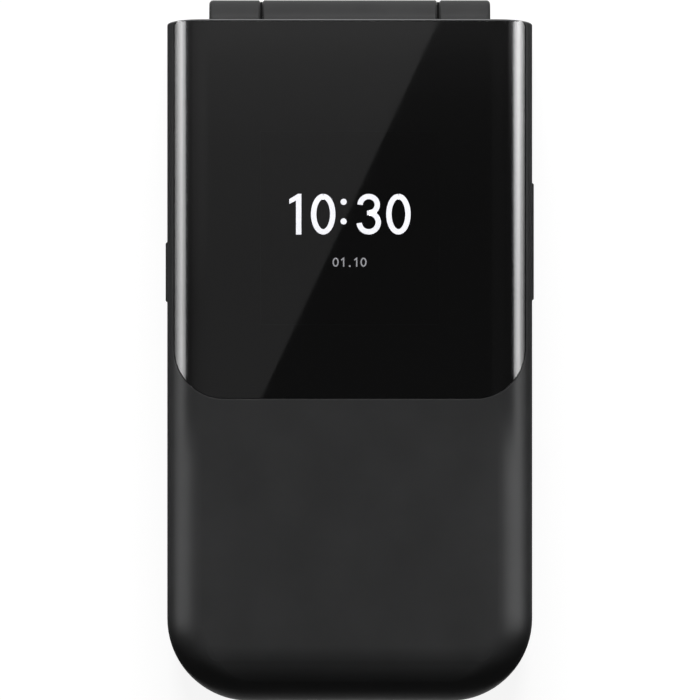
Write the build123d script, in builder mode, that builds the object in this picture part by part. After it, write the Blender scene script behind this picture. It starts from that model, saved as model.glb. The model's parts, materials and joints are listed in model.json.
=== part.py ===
from build123d import *
from math import radians, tan
import os

# A clamshell phone, closed and lying on its back cover.
# Frame: +Z is up, from the back cover to the lid's outer face. +Y points from the free end to the hinge.
# +X is to the right, seen from above. The origin is the centre of the phone's plan, on the face it rests on.
# All sizes are millimetres. "Low" and "high" are levels along Z. "Near" is towards the free end and "far"
# towards the hinge. A size named "from" or "gap" is a distance between two things, never a coordinate.

# ---------------------------------------------------------------- overall sizes
phone_width = 54.4
phone_length = 104.5  # free end to the tip of the hinge barrel
base_thickness = 10.9
lid_thickness = 7.4
closing_gap = 0.4  # air between the closed halves
corner_radius = 12.3  # in plan, at the free end
lid_edge_radius = 5.2
base_edge_radius = 3.6
nose_length = 8.25  # the outer faces fall over this length at the free end
lid_nose_drop = 3.2
base_nose_drop = 0.4
end_lean = 8.0  # degrees that the hinge-end faces lean back towards the parting gap
end_round = 0.22

# ---------------------------------------------------------------- walls and fits
lid_wall = 1.2
lid_skin = 1.6
bezel_thickness = 1.6
base_wall = 1.2
cover_wall = 1.2
cover_height = 3.6
seam = 0.1  # between two fixed housings
fit_gap = 0.15  # round an inner piece in its pocket
bonded_gap = 0.05  # a glue line
running_gap = 0.05  # radial, between turning pieces

# ---------------------------------------------------------------- hinge
barrel_radius = 3.6
barrel_proud = 2.9  # the barrel's reach past the ends of both halves
barrel_width = 41.9
centre_barrel_width = 26.0
knuckle_gap = 0.35  # along the axis, between the lid's barrel and each knuckle
swing_gap = 0.3  # round the barrel and the knuckles
thrust_radius = 3.3
thrust_land = 0.25  # the raised ring on each knuckle's inner face, inside that gap
barrel_bevel = 0.25
barrel_end_round = 0.6
hinge_block_length = 6.3  # plastic at the hinge end of each half
base_block_height = 5.0
cartridge_radius = 2.6
cartridge_length = 14.0
cartridge_wall = 0.45
cartridge_floor = 0.6
shaft_radius = 1.2
shaft_flats = 4.2  # across the flats of the shaft's keyed head
shaft_head_length = 4.4
cam_length = 1.6
cam_gap = 0.1
spring_wire = 0.4
spring_gap = 0.25  # between the spring and the cartridge's wall
spring_turns = 8
bush_radius = 2.6
bush_wall = 0.5
bush_reach = 5.0  # into the lid's barrel
flex_radius = 2.2
flex_thickness = 0.2
flex_width = 5.0
flex_opening = 60.0  # degrees left open between the ribbon's ends
cap_radius = 2.9
cap_thickness = 0.8

# ---------------------------------------------------------------- lid pieces
window_near_from_end = 45.14
window_far_from_end = 0.42
window_side_inset = 1.12
window_corner = 7.4
window_far_corner = 0.8
glass_thickness = 0.8
glass_gap = 0.14
outer_display_width = 26.4
outer_display_length = 28.6
outer_display_thickness = 1.7
outer_display_from_end = 31.1  # its middle, from the lid's hinge end
lens_thickness = 0.7
lens_sunk = 0.05
lens_side_inset = 2.9
lens_near_from_end = 13.6
lens_far_from_block = 7.5
lens_corner = 3.0
view_side_border = 2.4
view_end_border = 8.0
lcd_side_border = 2.0  # the module's reach past its viewing area
lcd_end_border = 3.9
lcd_thickness = 2.2
frame_plate = 0.7
frame_wall = 0.7
frame_end_reach = 3.0  # plate past the tray
earpiece_width = 12.0
earpiece_depth = 6.0
earpiece_height = 2.0
earpiece_from_end = 8.2
slot_width = 9.0
slot_depth = 1.6
mesh_border = 0.5
mesh_thickness = 0.3
mesh_hole = 0.3
mesh_pitch = 1.0
lid_board_width = 30.0
lid_board_depth = 9.0
lid_board_thickness = 0.6
lid_chip_size = 6.0
lid_chip_height = 0.4
magnet_size = 3.0
magnet_height = 1.6
magnet_from_middle = 12.0
magnet_from_end = 9.6
lid_screw_near_inset = 7.7
lid_screw_near_from_end = 7.75
lid_screw_far_inset = 4.7
lid_screw_far_from_block = 3.5
lid_screw_head_height = 0.55
lid_screw_length = 3.6
bumper_radius = 2.0
bumper_thickness = 0.55
bumper_proud = 0.15

# ---------------------------------------------------------------- screws
screw_radius = 0.7
screw_head_radius = 1.35
screw_hole_gap = 0.05
screw_socket = 0.45  # radius of the hexagon in a head
screw_socket_depth = 0.3
boss_radius = 1.8
base_screw_head_height = 0.8
base_screw_grip = 3.2  # plastic between head and board
base_screw_reach = 1.0  # past the board, into the keypad shell
base_screw_near_inset = 7.2
base_screw_near_from_end = 9.2
base_screw_mid_inset = 3.8
base_screw_far_inset = 4.2
base_screw_far_from_block = 2.0

# ---------------------------------------------------------------- base pieces
keypad_recess = 0.3
deck_skin = 1.1
field_inset = 2.0  # keypad field from the phone's sides
field_near_from_end = 9.6
field_corner = 3.0
board_depth = 1.5  # from the deck's underside down to the board
board_thickness = 0.8
board_inset = 2.6
dome_sheet_thickness = 0.1
sheet_border = 0.6  # the dome sheet's reach past the keys
dome_height = 0.15
dome_radius = 2.3
battery_side_inset = 9.1  # from the phone's sides
battery_thickness = 4.4
battery_from_end = 24.6
battery_from_far_end = 29.4
battery_corner = 1.0
bay_gap = 0.3
bay_ledge = 2.4  # the bay's ceiling round its opening
contact_width = 10.0
contact_depth = 2.0
contact_height = 3.0
contact_tip = 0.6
contact_pitch = 2.8
contact_count = 3
can_wall = 0.2
can_height = 1.1
far_can_height = 2.0
far_can_from_well = 1.5  # each side
far_can_depth = 6.0
bay_can_from_ledge = 2.5  # each side
socket_width = 12.0
socket_depth = 14.0
socket_gap = 2.0
socket_to_can = 6.6
well_side_inset = 7.2  # from the phone's sides
well_from_bay = 3.6
well_to_block = 2.5
well_floor = 1.7
camera_from_end = 12.8
camera_offset = -3.8
camera_size = 7.0
camera_height = 4.0
camera_lens_radius = 2.6
camera_lens_height = 0.9
camera_wall = 1.0
flash_offset = 5.2
flash_size = 3.0
flash_height = 1.2
rear_window_width = 20.0
rear_window_depth = 10.0
rear_window_corner = 3.0
rear_window_sunk = 0.2
speaker_width = 15.0
speaker_depth = 10.0
speaker_height = 2.9
speaker_from_side = 18.6
speaker_from_end = 13.6
grille_slot_width = 0.9
grille_slot_length = 8.0
grille_pitch = 2.4
grille_slot_count = 3
motor_radius = 4.0
motor_height = 2.6
motor_from_side = 11.6
motor_from_end = 18.9
antenna_width = 18.0
antenna_depth = 3.0
antenna_thickness = 0.25
antenna_offset = 4.0
antenna_from_end = 6.8
microphone_width = 3.4
microphone_depth = 2.4
microphone_height = 1.0
microphone_hole = 0.5
microphone_from_end = 5.6
usb_width = 7.6
usb_height = 2.6
usb_length = 5.6
usb_wall = 0.35
usb_mouth_depth = 4.6
usb_tongue_thickness = 0.55
usb_tongue_width = 5.2
usb_tongue_setback = 0.8
port_sunk = 0.2  # port faces behind the phone's end
jack_bore_radius = 1.8
jack_collar_radius = 2.5
jack_collar_length = 1.6
jack_length = 14.0
jack_bore_depth = 12.6
jack_width = 6.4
jack_height = 4.6
jack_offset = 11.0
jack_level = 6.5

# ---------------------------------------------------------------- keys
key_gap = 0.2
key_proud = 0.05  # key tops above the base's rim
key_travel = 0.25
key_flange = 0.5
key_flange_thickness = 0.4
key_top_round = 0.35
key_columns = 3
key_rows = 4
key_rib = 1.6  # deck between number keys
key_side_inset = 4.3  # outer keys from the phone's sides
key_near_from_end = 13.05
key_corner = 1.6
plunger_radius = 1.2
nav_size = 21.0
nav_corner = 6.0
nav_from_block = 16.5
nav_gap = 0.35
nav_margin = 1.5  # deck between the ring and its neighbours
nav_clear = 4.8  # deck between the ring and the number keys
zone_rib = 3.0
nav_skirt = 2.5
nav_flange = 0.4
nav_flange_thickness = 0.25
ok_size = 9.0
ok_corner = 2.6
ok_flange = 0.4
ok_flange_thickness = 0.25
ok_flange_depth = 0.25  # its top below the deck's underside
pad_size = 17.0
pad_corner = 3.0
pad_thickness = 0.15
pad_clear = 0.2  # above the domes
pad_hole = 2.2
ridge_width = 1.0
ridge_height = 0.25
ridge_length = 3.0
nav_dome_from_middle = 7.6
side_key_height = 2.4
side_key_level = 6.35
side_key_travel = 0.25
side_key_gap = 0.12
side_key_proud = 0.3
side_key_round = 0.3
side_flange = 0.4
side_flange_gap = 0.35
side_flange_thickness = 0.4
nub_size = 1.2
volume_length = 17.5
volume_from_end = 68.5
volume_nub_from_middle = 6.4
side_key_length = 8.95
side_key_from_end = 63.95
side_nub_from_middle = 2.4
switch_depth = 1.8
switch_length = 3.2
switch_height = 1.4

# ------------------------------------------------------------ levels and stations worked out from the sizes
half_width = phone_width / 2
free_end = -phone_length / 2
barrel_tip = phone_length / 2
body_end = barrel_tip - barrel_proud
block_near = body_end - hinge_block_length

lid_low = base_thickness + closing_gap
lid_high = lid_low + lid_thickness
bezel_high = lid_low + bezel_thickness
shell_low = bezel_high + seam

hinge_y = barrel_tip - barrel_radius
hinge_z = base_thickness + closing_gap / 2
swing_radius = barrel_radius + swing_gap
bore_radius = cartridge_radius + running_gap
half_centre = centre_barrel_width / 2
knuckle_near = half_centre + knuckle_gap
thrust_face = knuckle_near - thrust_land
knuckle_far = barrel_width / 2
notch_far = knuckle_far + knuckle_gap

deck_high = base_thickness - keypad_recess
deck_low = deck_high - deck_skin
board_high = deck_low - board_depth
board_low = board_high - board_thickness
dome_sheet_high = board_high + dome_sheet_thickness
dome_high = dome_sheet_high + dome_height
key_high = base_thickness + key_proud
plunger_low = dome_high + key_travel + bonded_gap
key_flange_high = deck_low - bonded_gap
cavity_low = cover_wall + fit_gap  # the chassis's lower face
cover_seam_high = cover_height + seam

PARTS = "parts"
os.makedirs(PARTS, exist_ok=True)


def save(piece, name):
    """Labels a finished piece and writes it as its own STEP file."""
    piece.label = name
    export_step(piece, f"{PARTS}/{name}.step")


# ---------------------------------------------------------------- shapes used again and again
def paired(inset, y):
    """Two spots, the same distance in from the phone's left and right sides."""
    return [(inset - half_width, y), (half_width - inset, y)]


def block(width, depth, low, high, spots, mode=Mode.ADD):
    """A box between two levels, centred on each spot."""
    with Locations(*[(x, y, low) for x, y in spots]):
        Box(width, depth, high - low, align=(Align.CENTER, Align.CENTER, Align.MIN), mode=mode)


def span(left, right, near, far, low, high, mode=Mode.ADD):
    """A box between two stations along each axis."""
    block(right - left, far - near, low, high, [((left + right) / 2, (near + far) / 2)], mode)


def post(radius, low, high, spots, mode=Mode.ADD):
    """An upright cylinder between two levels on each spot."""
    with Locations(*[(x, y, low) for x, y in spots]):
        Cylinder(radius, high - low, align=(Align.CENTER, Align.CENTER, Align.MIN), mode=mode)


def axle(radius, left, right, mode=Mode.ADD):
    """A cylinder on the hinge axis between two stations along X."""
    with Locations(Location(((left + right) / 2, hinge_y, hinge_z), (0, 90, 0))):
        Cylinder(radius, right - left, mode=mode)


def plate(width, depth, corner, low, high, spot):
    """A rounded plate between two levels, as a solid of its own."""
    with BuildPart() as piece:
        with BuildSketch(Plane.XY.offset(low)):
            with Locations(spot):
                RectangleRounded(width, depth, corner)
        extrude(amount=high - low)
    return piece.part


# ---------------------------------------------------------------- outer forms of the two halves
def half_outline(inset, far):
    """Plan of one half: wide round corners at the free end, square corners towards the hinge."""
    near = free_end + inset
    with Locations((0, (near + far) / 2)):
        Rectangle(phone_width - 2 * inset, far - near)
    fillet(vertices().group_by(Axis.Y)[0], corner_radius - inset)


def half_form(thickness, edge_radius, nose_drop, wall, skin, end_wall, end_rounding):
    """One half as a solid, parting face on XY and outer face up, shrunk by its wall, skin and end wall."""
    height = thickness - skin
    far = body_end - end_wall
    nose_start = free_end + nose_length
    with BuildPart() as form:
        with BuildSketch():
            half_outline(wall, far)
        extrude(amount=height)
        # The hinge-end face leans back towards the parting face.
        with BuildSketch(Plane.YZ):
            with BuildLine():
                Polyline(
                    (far, thickness),
                    (far + thickness, thickness),
                    (far + thickness, 0),
                    (far - thickness * tan(radians(end_lean)), 0),
                    close=True,
                )
            make_face()
        extrude(amount=phone_width, both=True, mode=Mode.SUBTRACT)
        # The outer face falls in one arc towards the free end.
        with BuildSketch(Plane.YZ):
            with BuildLine():
                nose = TangentArc((nose_start, height), (free_end, height - nose_drop), tangent=(-1, 0))
                Polyline(nose @ 1, (free_end, height + nose_drop), (nose_start, height + nose_drop), nose @ 0)
            make_face()
        extrude(amount=phone_width, both=True, mode=Mode.SUBTRACT)
        outer_rim = form.edges().filter_by(
            lambda e: e.bounding_box().min.Z > seam
            and (abs(e.center().X) > corner_radius / 2 or e.center().Y < nose_start - nose_length / 2)
        )
        fillet(outer_rim, edge_radius - wall)
        if end_rounding:
            end_face = form.faces().sort_by(Axis.Y)[-1]
            fillet(end_face.edges().filter_by(lambda e: e.center().Z > seam), end_rounding)
    return form.part


def lid_form(wall=0.0, skin=0.0, end_wall=0.0, end_rounding=0.0):
    """The lid's outer form in its place, or that form shrunk by its walls."""
    form = half_form(lid_thickness, lid_edge_radius, lid_nose_drop, wall, skin, end_wall, end_rounding)
    return form.moved(Location((0, 0, lid_low)))


def base_form(wall=0.0, skin=0.0, end_wall=0.0, end_rounding=0.0):
    """The base's outer form in its place, or that form shrunk by its walls."""
    form = half_form(base_thickness, base_edge_radius, base_nose_drop, wall, skin, end_wall, end_rounding)
    return form.mirror(Plane.XY).moved(Location((0, 0, base_thickness)))


lid_outer = lid_form(end_rounding=end_round)
base_outer = base_form(end_rounding=end_round)


# ---------------------------------------------------------------- hinge barrel
def barrel(left, right, rounded_end):
    """A length of the barrel. Its ends are bevelled, but the end farther out is rounded on a knuckle."""
    with BuildPart() as piece:
        axle(barrel_radius, left, right)
        rims = piece.edges().filter_by(GeomType.CIRCLE).sort_by(Axis.X)
        if rounded_end:
            fillet(rims[-1], barrel_end_round)
            chamfer(rims[0], barrel_bevel)
        else:
            chamfer(rims, barrel_bevel)
    return piece.part


centre_barrel = barrel(-half_centre, half_centre, False)
right_knuckle = barrel(knuckle_near, knuckle_far, True)
left_knuckle = right_knuckle.mirror(Plane.YZ)


def keyed_head(radius, flats, left, right):
    """A bar on the hinge axis with two flats, which the knuckle's keyed hole holds from turning."""
    with BuildPart() as piece:
        axle(radius, left, right)
        with Locations(((left + right) / 2, hinge_y, hinge_z)):
            Box(right - left, 2 * radius, flats, mode=Mode.INTERSECT)
    return piece.part


# ---------------------------------------------------------------- lid: stations
lid_screw_spots = paired(lid_screw_near_inset, free_end + lid_screw_near_from_end)
lid_screw_spots += paired(lid_screw_far_inset, block_near - lid_screw_far_from_block)
lens_half_width = half_width - lens_side_inset
lens_near = free_end + lens_near_from_end
lens_far = block_near - lens_far_from_block
lens_middle = (lens_near + lens_far) / 2
lens_low = lid_low + lens_sunk
lens_high = lens_low + lens_thickness
view_width = 2 * (lens_half_width - view_side_border)
view_length = lens_far - lens_near - 2 * view_end_border
lcd_width = view_width + 2 * lcd_side_border
lcd_length = view_length + 2 * lcd_end_border
lcd_low = bezel_high + bonded_gap
lcd_high = lcd_low + lcd_thickness
frame_low = lcd_high + fit_gap
frame_high = frame_low + frame_plate
tray_gap = fit_gap + frame_wall
outer_display_middle = body_end - outer_display_from_end
outer_display_high = lid_high - glass_thickness - bonded_gap
outer_display_low = outer_display_high - outer_display_thickness
earpiece_middle = free_end + earpiece_from_end
bumper_low = lid_low - bumper_proud
bumper_high = bumper_low + bumper_thickness
lid_screw_head_low = bumper_high + bonded_gap
lid_screw_head_high = lid_screw_head_low + lid_screw_head_height
lid_screw_tip = lid_screw_head_high + lid_screw_length


# ---------------------------------------------------------------- lid: window and shell
def window_form(gap):
    """The glossy window, curved like the lid's skin, or its recess when a gap is given."""
    depth = glass_thickness + (bonded_gap if gap else 0)
    near = free_end + window_near_from_end - gap
    far = body_end - window_far_from_end + gap
    with BuildPart() as piece:
        with BuildSketch(Plane.XY.offset(lid_low)):
            with Locations((0, (near + far) / 2)):
                Rectangle(phone_width - 2 * (window_side_inset - gap), far - near)
            fillet(vertices().group_by(Axis.Y)[0], window_corner + gap)
            fillet(vertices().group_by(Axis.Y)[-1], window_far_corner + gap)
        extrude(amount=lid_thickness)
        add(lid_outer, mode=Mode.INTERSECT)
        add(lid_form(depth, depth), mode=Mode.SUBTRACT)
    return piece.part


outer_window = window_form(0.0)
save(outer_window, "outer_window")
window_recess = window_form(glass_gap)

with BuildPart() as lid_shell:
    add(lid_outer)
    add(lid_form(lid_wall, lid_skin, lid_wall), mode=Mode.SUBTRACT)
    post(boss_radius, lid_low, lid_high, lid_screw_spots)
    add(lid_outer, mode=Mode.INTERSECT)
    split(bisect_by=Plane.XY.offset(shell_low), keep=Keep.TOP)
    add(window_recess, mode=Mode.SUBTRACT)
    block(
        outer_display_width + 2 * fit_gap,
        outer_display_length + 2 * fit_gap,
        lid_low,
        lid_high,
        [(0, outer_display_middle)],
        Mode.SUBTRACT,
    )
    post(screw_radius + screw_hole_gap, lid_low, lid_screw_tip + fit_gap, lid_screw_spots, Mode.SUBTRACT)
    axle(swing_radius, -notch_far, notch_far, Mode.SUBTRACT)
save(lid_shell.part, "lid_shell")

# ---------------------------------------------------------------- lid: inner bezel with the centre barrel
with BuildPart() as lid_block:
    add(lid_form(lid_wall + fit_gap, lid_skin + fit_gap, lid_wall + fit_gap))
    span(-half_width, half_width, block_near, barrel_tip, lid_low, lid_high, Mode.INTERSECT)

lens_width = 2 * lens_half_width
lens_length = lens_far - lens_near
lens_recess = plate(
    lens_width + 2 * glass_gap,
    lens_length + 2 * glass_gap,
    lens_corner + glass_gap,
    lid_low,
    lens_high,
    (0, lens_middle),
)

with BuildPart() as inner_bezel:
    add(lid_outer)
    split(bisect_by=Plane.XY.offset(bezel_high), keep=Keep.BOTTOM)
    add(lid_block.part)
    axle(swing_radius, half_centre, notch_far, Mode.SUBTRACT)
    axle(swing_radius, -notch_far, -half_centre, Mode.SUBTRACT)
    add(centre_barrel)
    axle(bore_radius, -half_centre, half_centre, Mode.SUBTRACT)
    add(lens_recess, mode=Mode.SUBTRACT)
    block(view_width, view_length, lid_low, bezel_high, [(0, lens_middle)], Mode.SUBTRACT)
    block(slot_width, slot_depth, lid_low, bezel_high, [(0, earpiece_middle)], Mode.SUBTRACT)
    block(
        slot_width + 2 * mesh_border,
        slot_depth + 2 * mesh_border,
        bezel_high - 2 * mesh_thickness,
        bezel_high,
        [(0, earpiece_middle)],
        Mode.SUBTRACT,
    )
    post(bumper_radius + running_gap, lid_low, lid_screw_head_high, lid_screw_spots, Mode.SUBTRACT)
    post(screw_radius + screw_hole_gap, lid_low, bezel_high, lid_screw_spots, Mode.SUBTRACT)
save(inner_bezel.part, "inner_bezel")

save(plate(lens_width, lens_length, lens_corner, lens_low, lens_high, (0, lens_middle)), "inner_window")

with BuildPart() as inner_display:
    block(lcd_width, lcd_length, lcd_low, lcd_high, [(0, lens_middle)])
save(inner_display.part, "inner_display")

with BuildPart() as outer_display:
    block(
        outer_display_width,
        outer_display_length,
        outer_display_low,
        outer_display_high,
        [(0, outer_display_middle)],
    )
save(outer_display.part, "outer_display")

# ---------------------------------------------------------------- lid: frame between the displays
frame_near = lens_middle - lcd_length / 2 - tray_gap - frame_end_reach
frame_far = block_near - fit_gap
tray_near = lens_middle - lcd_length / 2 - tray_gap
tray_far = lens_middle + lcd_length / 2 + tray_gap
tray_half_width = lcd_width / 2 + tray_gap

with BuildPart() as frame_blank:
    add(lid_form(lid_wall + fit_gap, lid_skin + fit_gap, lid_wall + fit_gap))
    span(-half_width, half_width, frame_near, frame_far, frame_low, frame_high, Mode.INTERSECT)

with BuildPart() as frame_tray:
    add(lid_form(lid_wall + fit_gap, lid_skin + fit_gap, lid_wall + fit_gap))
    span(-tray_half_width, tray_half_width, tray_near, tray_far, bezel_high, frame_low, Mode.INTERSECT)

with BuildPart() as lid_frame:
    add(frame_blank.part)
    add(frame_tray.part)
    block(
        lcd_width + 2 * fit_gap,
        lcd_length + 2 * fit_gap,
        bezel_high,
        frame_low,
        [(0, lens_middle)],
        Mode.SUBTRACT,
    )
    post(boss_radius + fit_gap, bezel_high, lid_high, lid_screw_spots, Mode.SUBTRACT)
save(lid_frame.part, "lid_frame")

# ---------------------------------------------------------------- lid: small pieces
lid_board_low = frame_high
lid_board_high = lid_board_low + lid_board_thickness
lid_board_middle = block_near - fit_gap - lid_board_depth / 2
lid_chip_spots = [(side * lid_board_width / 4, lid_board_middle) for side in (-1, 1)]
with BuildPart() as lid_board:
    block(lid_board_width, lid_board_depth, lid_board_low, lid_board_high, [(0, lid_board_middle)])
    block(lid_chip_size, lid_chip_size, lid_board_high, lid_board_high + lid_chip_height, lid_chip_spots)
save(lid_board.part, "lid_board")

with BuildPart() as earpiece:
    block(earpiece_width, earpiece_depth, bezel_high, bezel_high + earpiece_height, [(0, earpiece_middle)])
save(earpiece.part, "earpiece")

mesh_low = bezel_high - 2 * mesh_thickness
mesh_columns = int(slot_width / mesh_pitch)
with BuildPart() as earpiece_mesh:
    block(
        slot_width + 2 * (mesh_border - running_gap),
        slot_depth + 2 * (mesh_border - running_gap),
        mesh_low,
        mesh_low + mesh_thickness,
        [(0, earpiece_middle)],
    )
    with Locations((0, earpiece_middle, mesh_low)):
        with GridLocations(mesh_pitch, slot_depth / 2, mesh_columns, 2):
            Cylinder(mesh_hole, 2 * mesh_thickness, mode=Mode.SUBTRACT)
save(earpiece_mesh.part, "earpiece_mesh")

magnet_spot = (magnet_from_middle, free_end + magnet_from_end)
with BuildPart() as lid_magnet:
    block(magnet_size, magnet_size, bezel_high, bezel_high + magnet_height, [magnet_spot])
save(lid_magnet.part, "lid_magnet")


def screws(head_low, head_height, length, spots):
    """Screws standing head down on the given spots, with a hexagon socket in each head."""
    head_high = head_low + head_height
    with BuildPart() as piece:
        post(screw_head_radius, head_low, head_high, spots)
        post(screw_radius, head_high, head_high + length, spots)
        with BuildSketch(Plane.XY.offset(head_low)):
            with Locations(*spots):
                RegularPolygon(screw_socket, 6)
        extrude(amount=screw_socket_depth, mode=Mode.SUBTRACT)
    return piece.part


save(screws(lid_screw_head_low, lid_screw_head_height, lid_screw_length, lid_screw_spots), "lid_screws")

with BuildPart() as lid_bumpers:
    post(bumper_radius, bumper_low, bumper_high, lid_screw_spots)
    chamfer(lid_bumpers.faces().group_by(Axis.Z)[0].edges(), bumper_proud)
save(lid_bumpers.part, "lid_bumpers")

# ---------------------------------------------------------------- hinge pieces
can_left = -half_centre
can_right = can_left + cartridge_length
head_left = -knuckle_near - shaft_head_length
cam_left = can_left + cam_gap
cam_right = cam_left + cam_length
spring_left = cam_right + fit_gap
spring_right = can_right - cartridge_floor - fit_gap
can_bore = cartridge_radius - cartridge_wall

with BuildPart() as hinge_can:
    axle(cartridge_radius, can_left, can_right)
    axle(can_bore, can_left, can_right - cartridge_floor, Mode.SUBTRACT)
    axle(shaft_radius + running_gap, can_left, can_right, Mode.SUBTRACT)
save(hinge_can.part, "hinge_can")

shaft_head = keyed_head(cartridge_radius, shaft_flats, head_left, -knuckle_near)
with BuildPart() as hinge_shaft:
    add(shaft_head)
    axle(shaft_radius, -knuckle_near, can_right)
    axle(can_bore - running_gap, cam_left, cam_right)
save(hinge_shaft.part, "hinge_shaft")

coil_radius = can_bore - spring_gap - spring_wire / 2
coil_length = spring_right - spring_left - spring_wire
with BuildPart() as hinge_spring:
    with BuildLine() as coil:
        Helix(
            coil_length / spring_turns,
            coil_length,
            coil_radius,
            center=(spring_left + spring_wire / 2, hinge_y, hinge_z),
            direction=(1, 0, 0),
        )
    with BuildSketch(Plane(coil.line @ 0, z_dir=coil.line % 0)):
        Circle(spring_wire / 2)
    sweep()
save(hinge_spring.part, "hinge_spring")

bush_left = half_centre - bush_reach
bush_right = knuckle_far - cap_thickness
with BuildPart() as hinge_bush:
    axle(bush_radius, bush_left, bush_right)
    axle(bush_radius - bush_wall, bush_left, bush_right, Mode.SUBTRACT)
save(hinge_bush.part, "hinge_bush")

flex_middle = (can_right + bush_left) / 2
with BuildPart() as hinge_flex:
    with BuildSketch(Plane((flex_middle - flex_width / 2, hinge_y, hinge_z), z_dir=(1, 0, 0))):
        with BuildLine():
            CenterArc((0, 0), flex_radius - flex_thickness / 2, 0, 360 - flex_opening)
            offset(amount=flex_thickness / 2)
        make_face()
    extrude(amount=flex_width)
save(hinge_flex.part, "hinge_flex")

with BuildPart() as knuckle_caps:
    axle(cap_radius, knuckle_far - cap_thickness, knuckle_far)
    axle(cap_radius, -knuckle_far, cap_thickness - knuckle_far)
save(knuckle_caps.part, "knuckle_caps")

# ---------------------------------------------------------------- keys: outlines and spots
nav_middle = block_near - nav_from_block
pad_half_width = half_width - key_side_inset
number_key_width = (2 * pad_half_width - (key_columns - 1) * key_rib) / key_columns
number_near = free_end + key_near_from_end
number_far = nav_middle - nav_size / 2 - nav_clear
number_key_depth = (number_far - number_near - (key_rows - 1) * key_rib) / key_rows
number_pitch_x = number_key_width + key_rib
number_pitch_y = number_key_depth + key_rib
zone_inner = nav_size / 2 + nav_margin
zone_width = pad_half_width - zone_inner
zone_depth = (nav_size - zone_rib) / 2
zone_x = zone_inner + zone_width / 2
zone_y = (zone_depth + zone_rib) / 2
number_names = [
    ("key_1", "key_2", "key_3"),
    ("key_4", "key_5", "key_6"),
    ("key_7", "key_8", "key_9"),
    ("key_star", "key_0", "key_hash"),
]
number_spots = {
    name: ((column - 1) * number_pitch_x, number_far - number_key_depth / 2 - row * number_pitch_y)
    for row, names in enumerate(number_names)
    for column, name in enumerate(names)
}
zone_spots = {
    "soft_key_left": (-zone_x, nav_middle + zone_y),
    "soft_key_right": (zone_x, nav_middle + zone_y),
    "call_key": (-zone_x, nav_middle - zone_y),
    "end_key": (zone_x, nav_middle - zone_y),
}
nav_dome_spots = [
    (x * nav_dome_from_middle, nav_middle + y * nav_dome_from_middle)
    for x, y in ((1, 0), (0, 1), (-1, 0), (0, -1))
]
dome_spots = list(number_spots.values()) + list(zone_spots.values()) + nav_dome_spots + [(0, nav_middle)]


def keycap(width, depth, corner, spot):
    """A key with a rounded top, a flange that the deck holds down, and a plunger over its dome."""
    flange = plate(
        width + 2 * key_flange,
        depth + 2 * key_flange,
        corner + key_flange,
        key_flange_high - key_flange_thickness,
        key_flange_high,
        spot,
    )
    with BuildPart() as piece:
        add(plate(width, depth, corner, key_flange_high - key_flange_thickness, key_high, spot))
        fillet(piece.faces().sort_by(Axis.Z)[-1].edges(), key_top_round)
        add(flange)
        post(plunger_radius, plunger_low, key_flange_high, [spot])
    return piece.part


for name, spot in number_spots.items():
    save(keycap(number_key_width, number_key_depth, key_corner, spot), name)
for name, spot in zone_spots.items():
    save(keycap(zone_width, zone_depth, key_corner, spot), name)

# ---------------------------------------------------------------- keys: navigation ring, pad and middle key
nav_spot = (0, nav_middle)
pad_low = dome_high + pad_clear
pad_high = pad_low + pad_thickness
ridge_high = pad_high + ridge_height
nav_flange_low = ridge_high + bonded_gap
nav_roof_low = deck_low
skirt_hole = nav_size - 2 * nav_skirt
with BuildPart() as nav_ring:
    add(plate(nav_size, nav_size, nav_corner, nav_flange_low, key_high, nav_spot))
    fillet(nav_ring.faces().sort_by(Axis.Z)[-1].edges(), key_top_round)
    add(
        plate(
            nav_size + 2 * nav_flange,
            nav_size + 2 * nav_flange,
            nav_corner + nav_flange,
            nav_flange_low,
            nav_flange_low + nav_flange_thickness,
            nav_spot,
        )
    )
    add(
        plate(skirt_hole, skirt_hole, nav_corner - nav_skirt, nav_flange_low, nav_roof_low, nav_spot),
        mode=Mode.SUBTRACT,
    )
    add(
        plate(
            ok_size + 2 * key_gap,
            ok_size + 2 * key_gap,
            ok_corner + key_gap,
            nav_flange_low,
            lid_low,
            nav_spot,
        ),
        mode=Mode.SUBTRACT,
    )
save(nav_ring.part, "nav_ring")

ok_flange_high = deck_low - ok_flange_depth
ok_flange_low = ok_flange_high - ok_flange_thickness
with BuildPart() as ok_key:
    add(plate(ok_size, ok_size, ok_corner, ok_flange_low, key_high, nav_spot))
    fillet(ok_key.faces().sort_by(Axis.Z)[-1].edges(), key_top_round)
    add(
        plate(
            ok_size + 2 * ok_flange,
            ok_size + 2 * ok_flange,
            ok_corner + ok_flange,
            ok_flange_low,
            ok_flange_high,
            nav_spot,
        )
    )
    post(plunger_radius, plunger_low, ok_flange_high, [nav_spot])
save(ok_key.part, "ok_key")

ridge_from_middle = pad_size / 2 - ridge_length / 2
ridge_spots = [(0, nav_middle - ridge_from_middle), (0, nav_middle + ridge_from_middle)]
with BuildPart() as nav_pad:
    add(plate(pad_size, pad_size, pad_corner, pad_low, pad_high, nav_spot))
    block(ridge_width, ridge_length, pad_high, ridge_high, ridge_spots)
    post(pad_hole, pad_low, ridge_high, [nav_spot], Mode.SUBTRACT)
save(nav_pad.part, "nav_pad")

# ---------------------------------------------------------------- keys: on the two sides
wall_inner = half_width - base_wall
side_flange_outer = wall_inner - side_flange_gap
side_flange_inner = side_flange_outer - side_flange_thickness
switch_outer = half_width - board_inset - fit_gap
nub_inner = switch_outer + side_key_travel + bonded_gap
volume_middle = free_end + volume_from_end
side_key_middle = free_end + side_key_from_end
volume_nubs = [volume_middle - volume_nub_from_middle, volume_middle + volume_nub_from_middle]
side_key_nubs = [side_key_middle - side_nub_from_middle]
side_key_low = side_key_level - side_key_height / 2
side_key_high = side_key_level + side_key_height / 2


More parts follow.
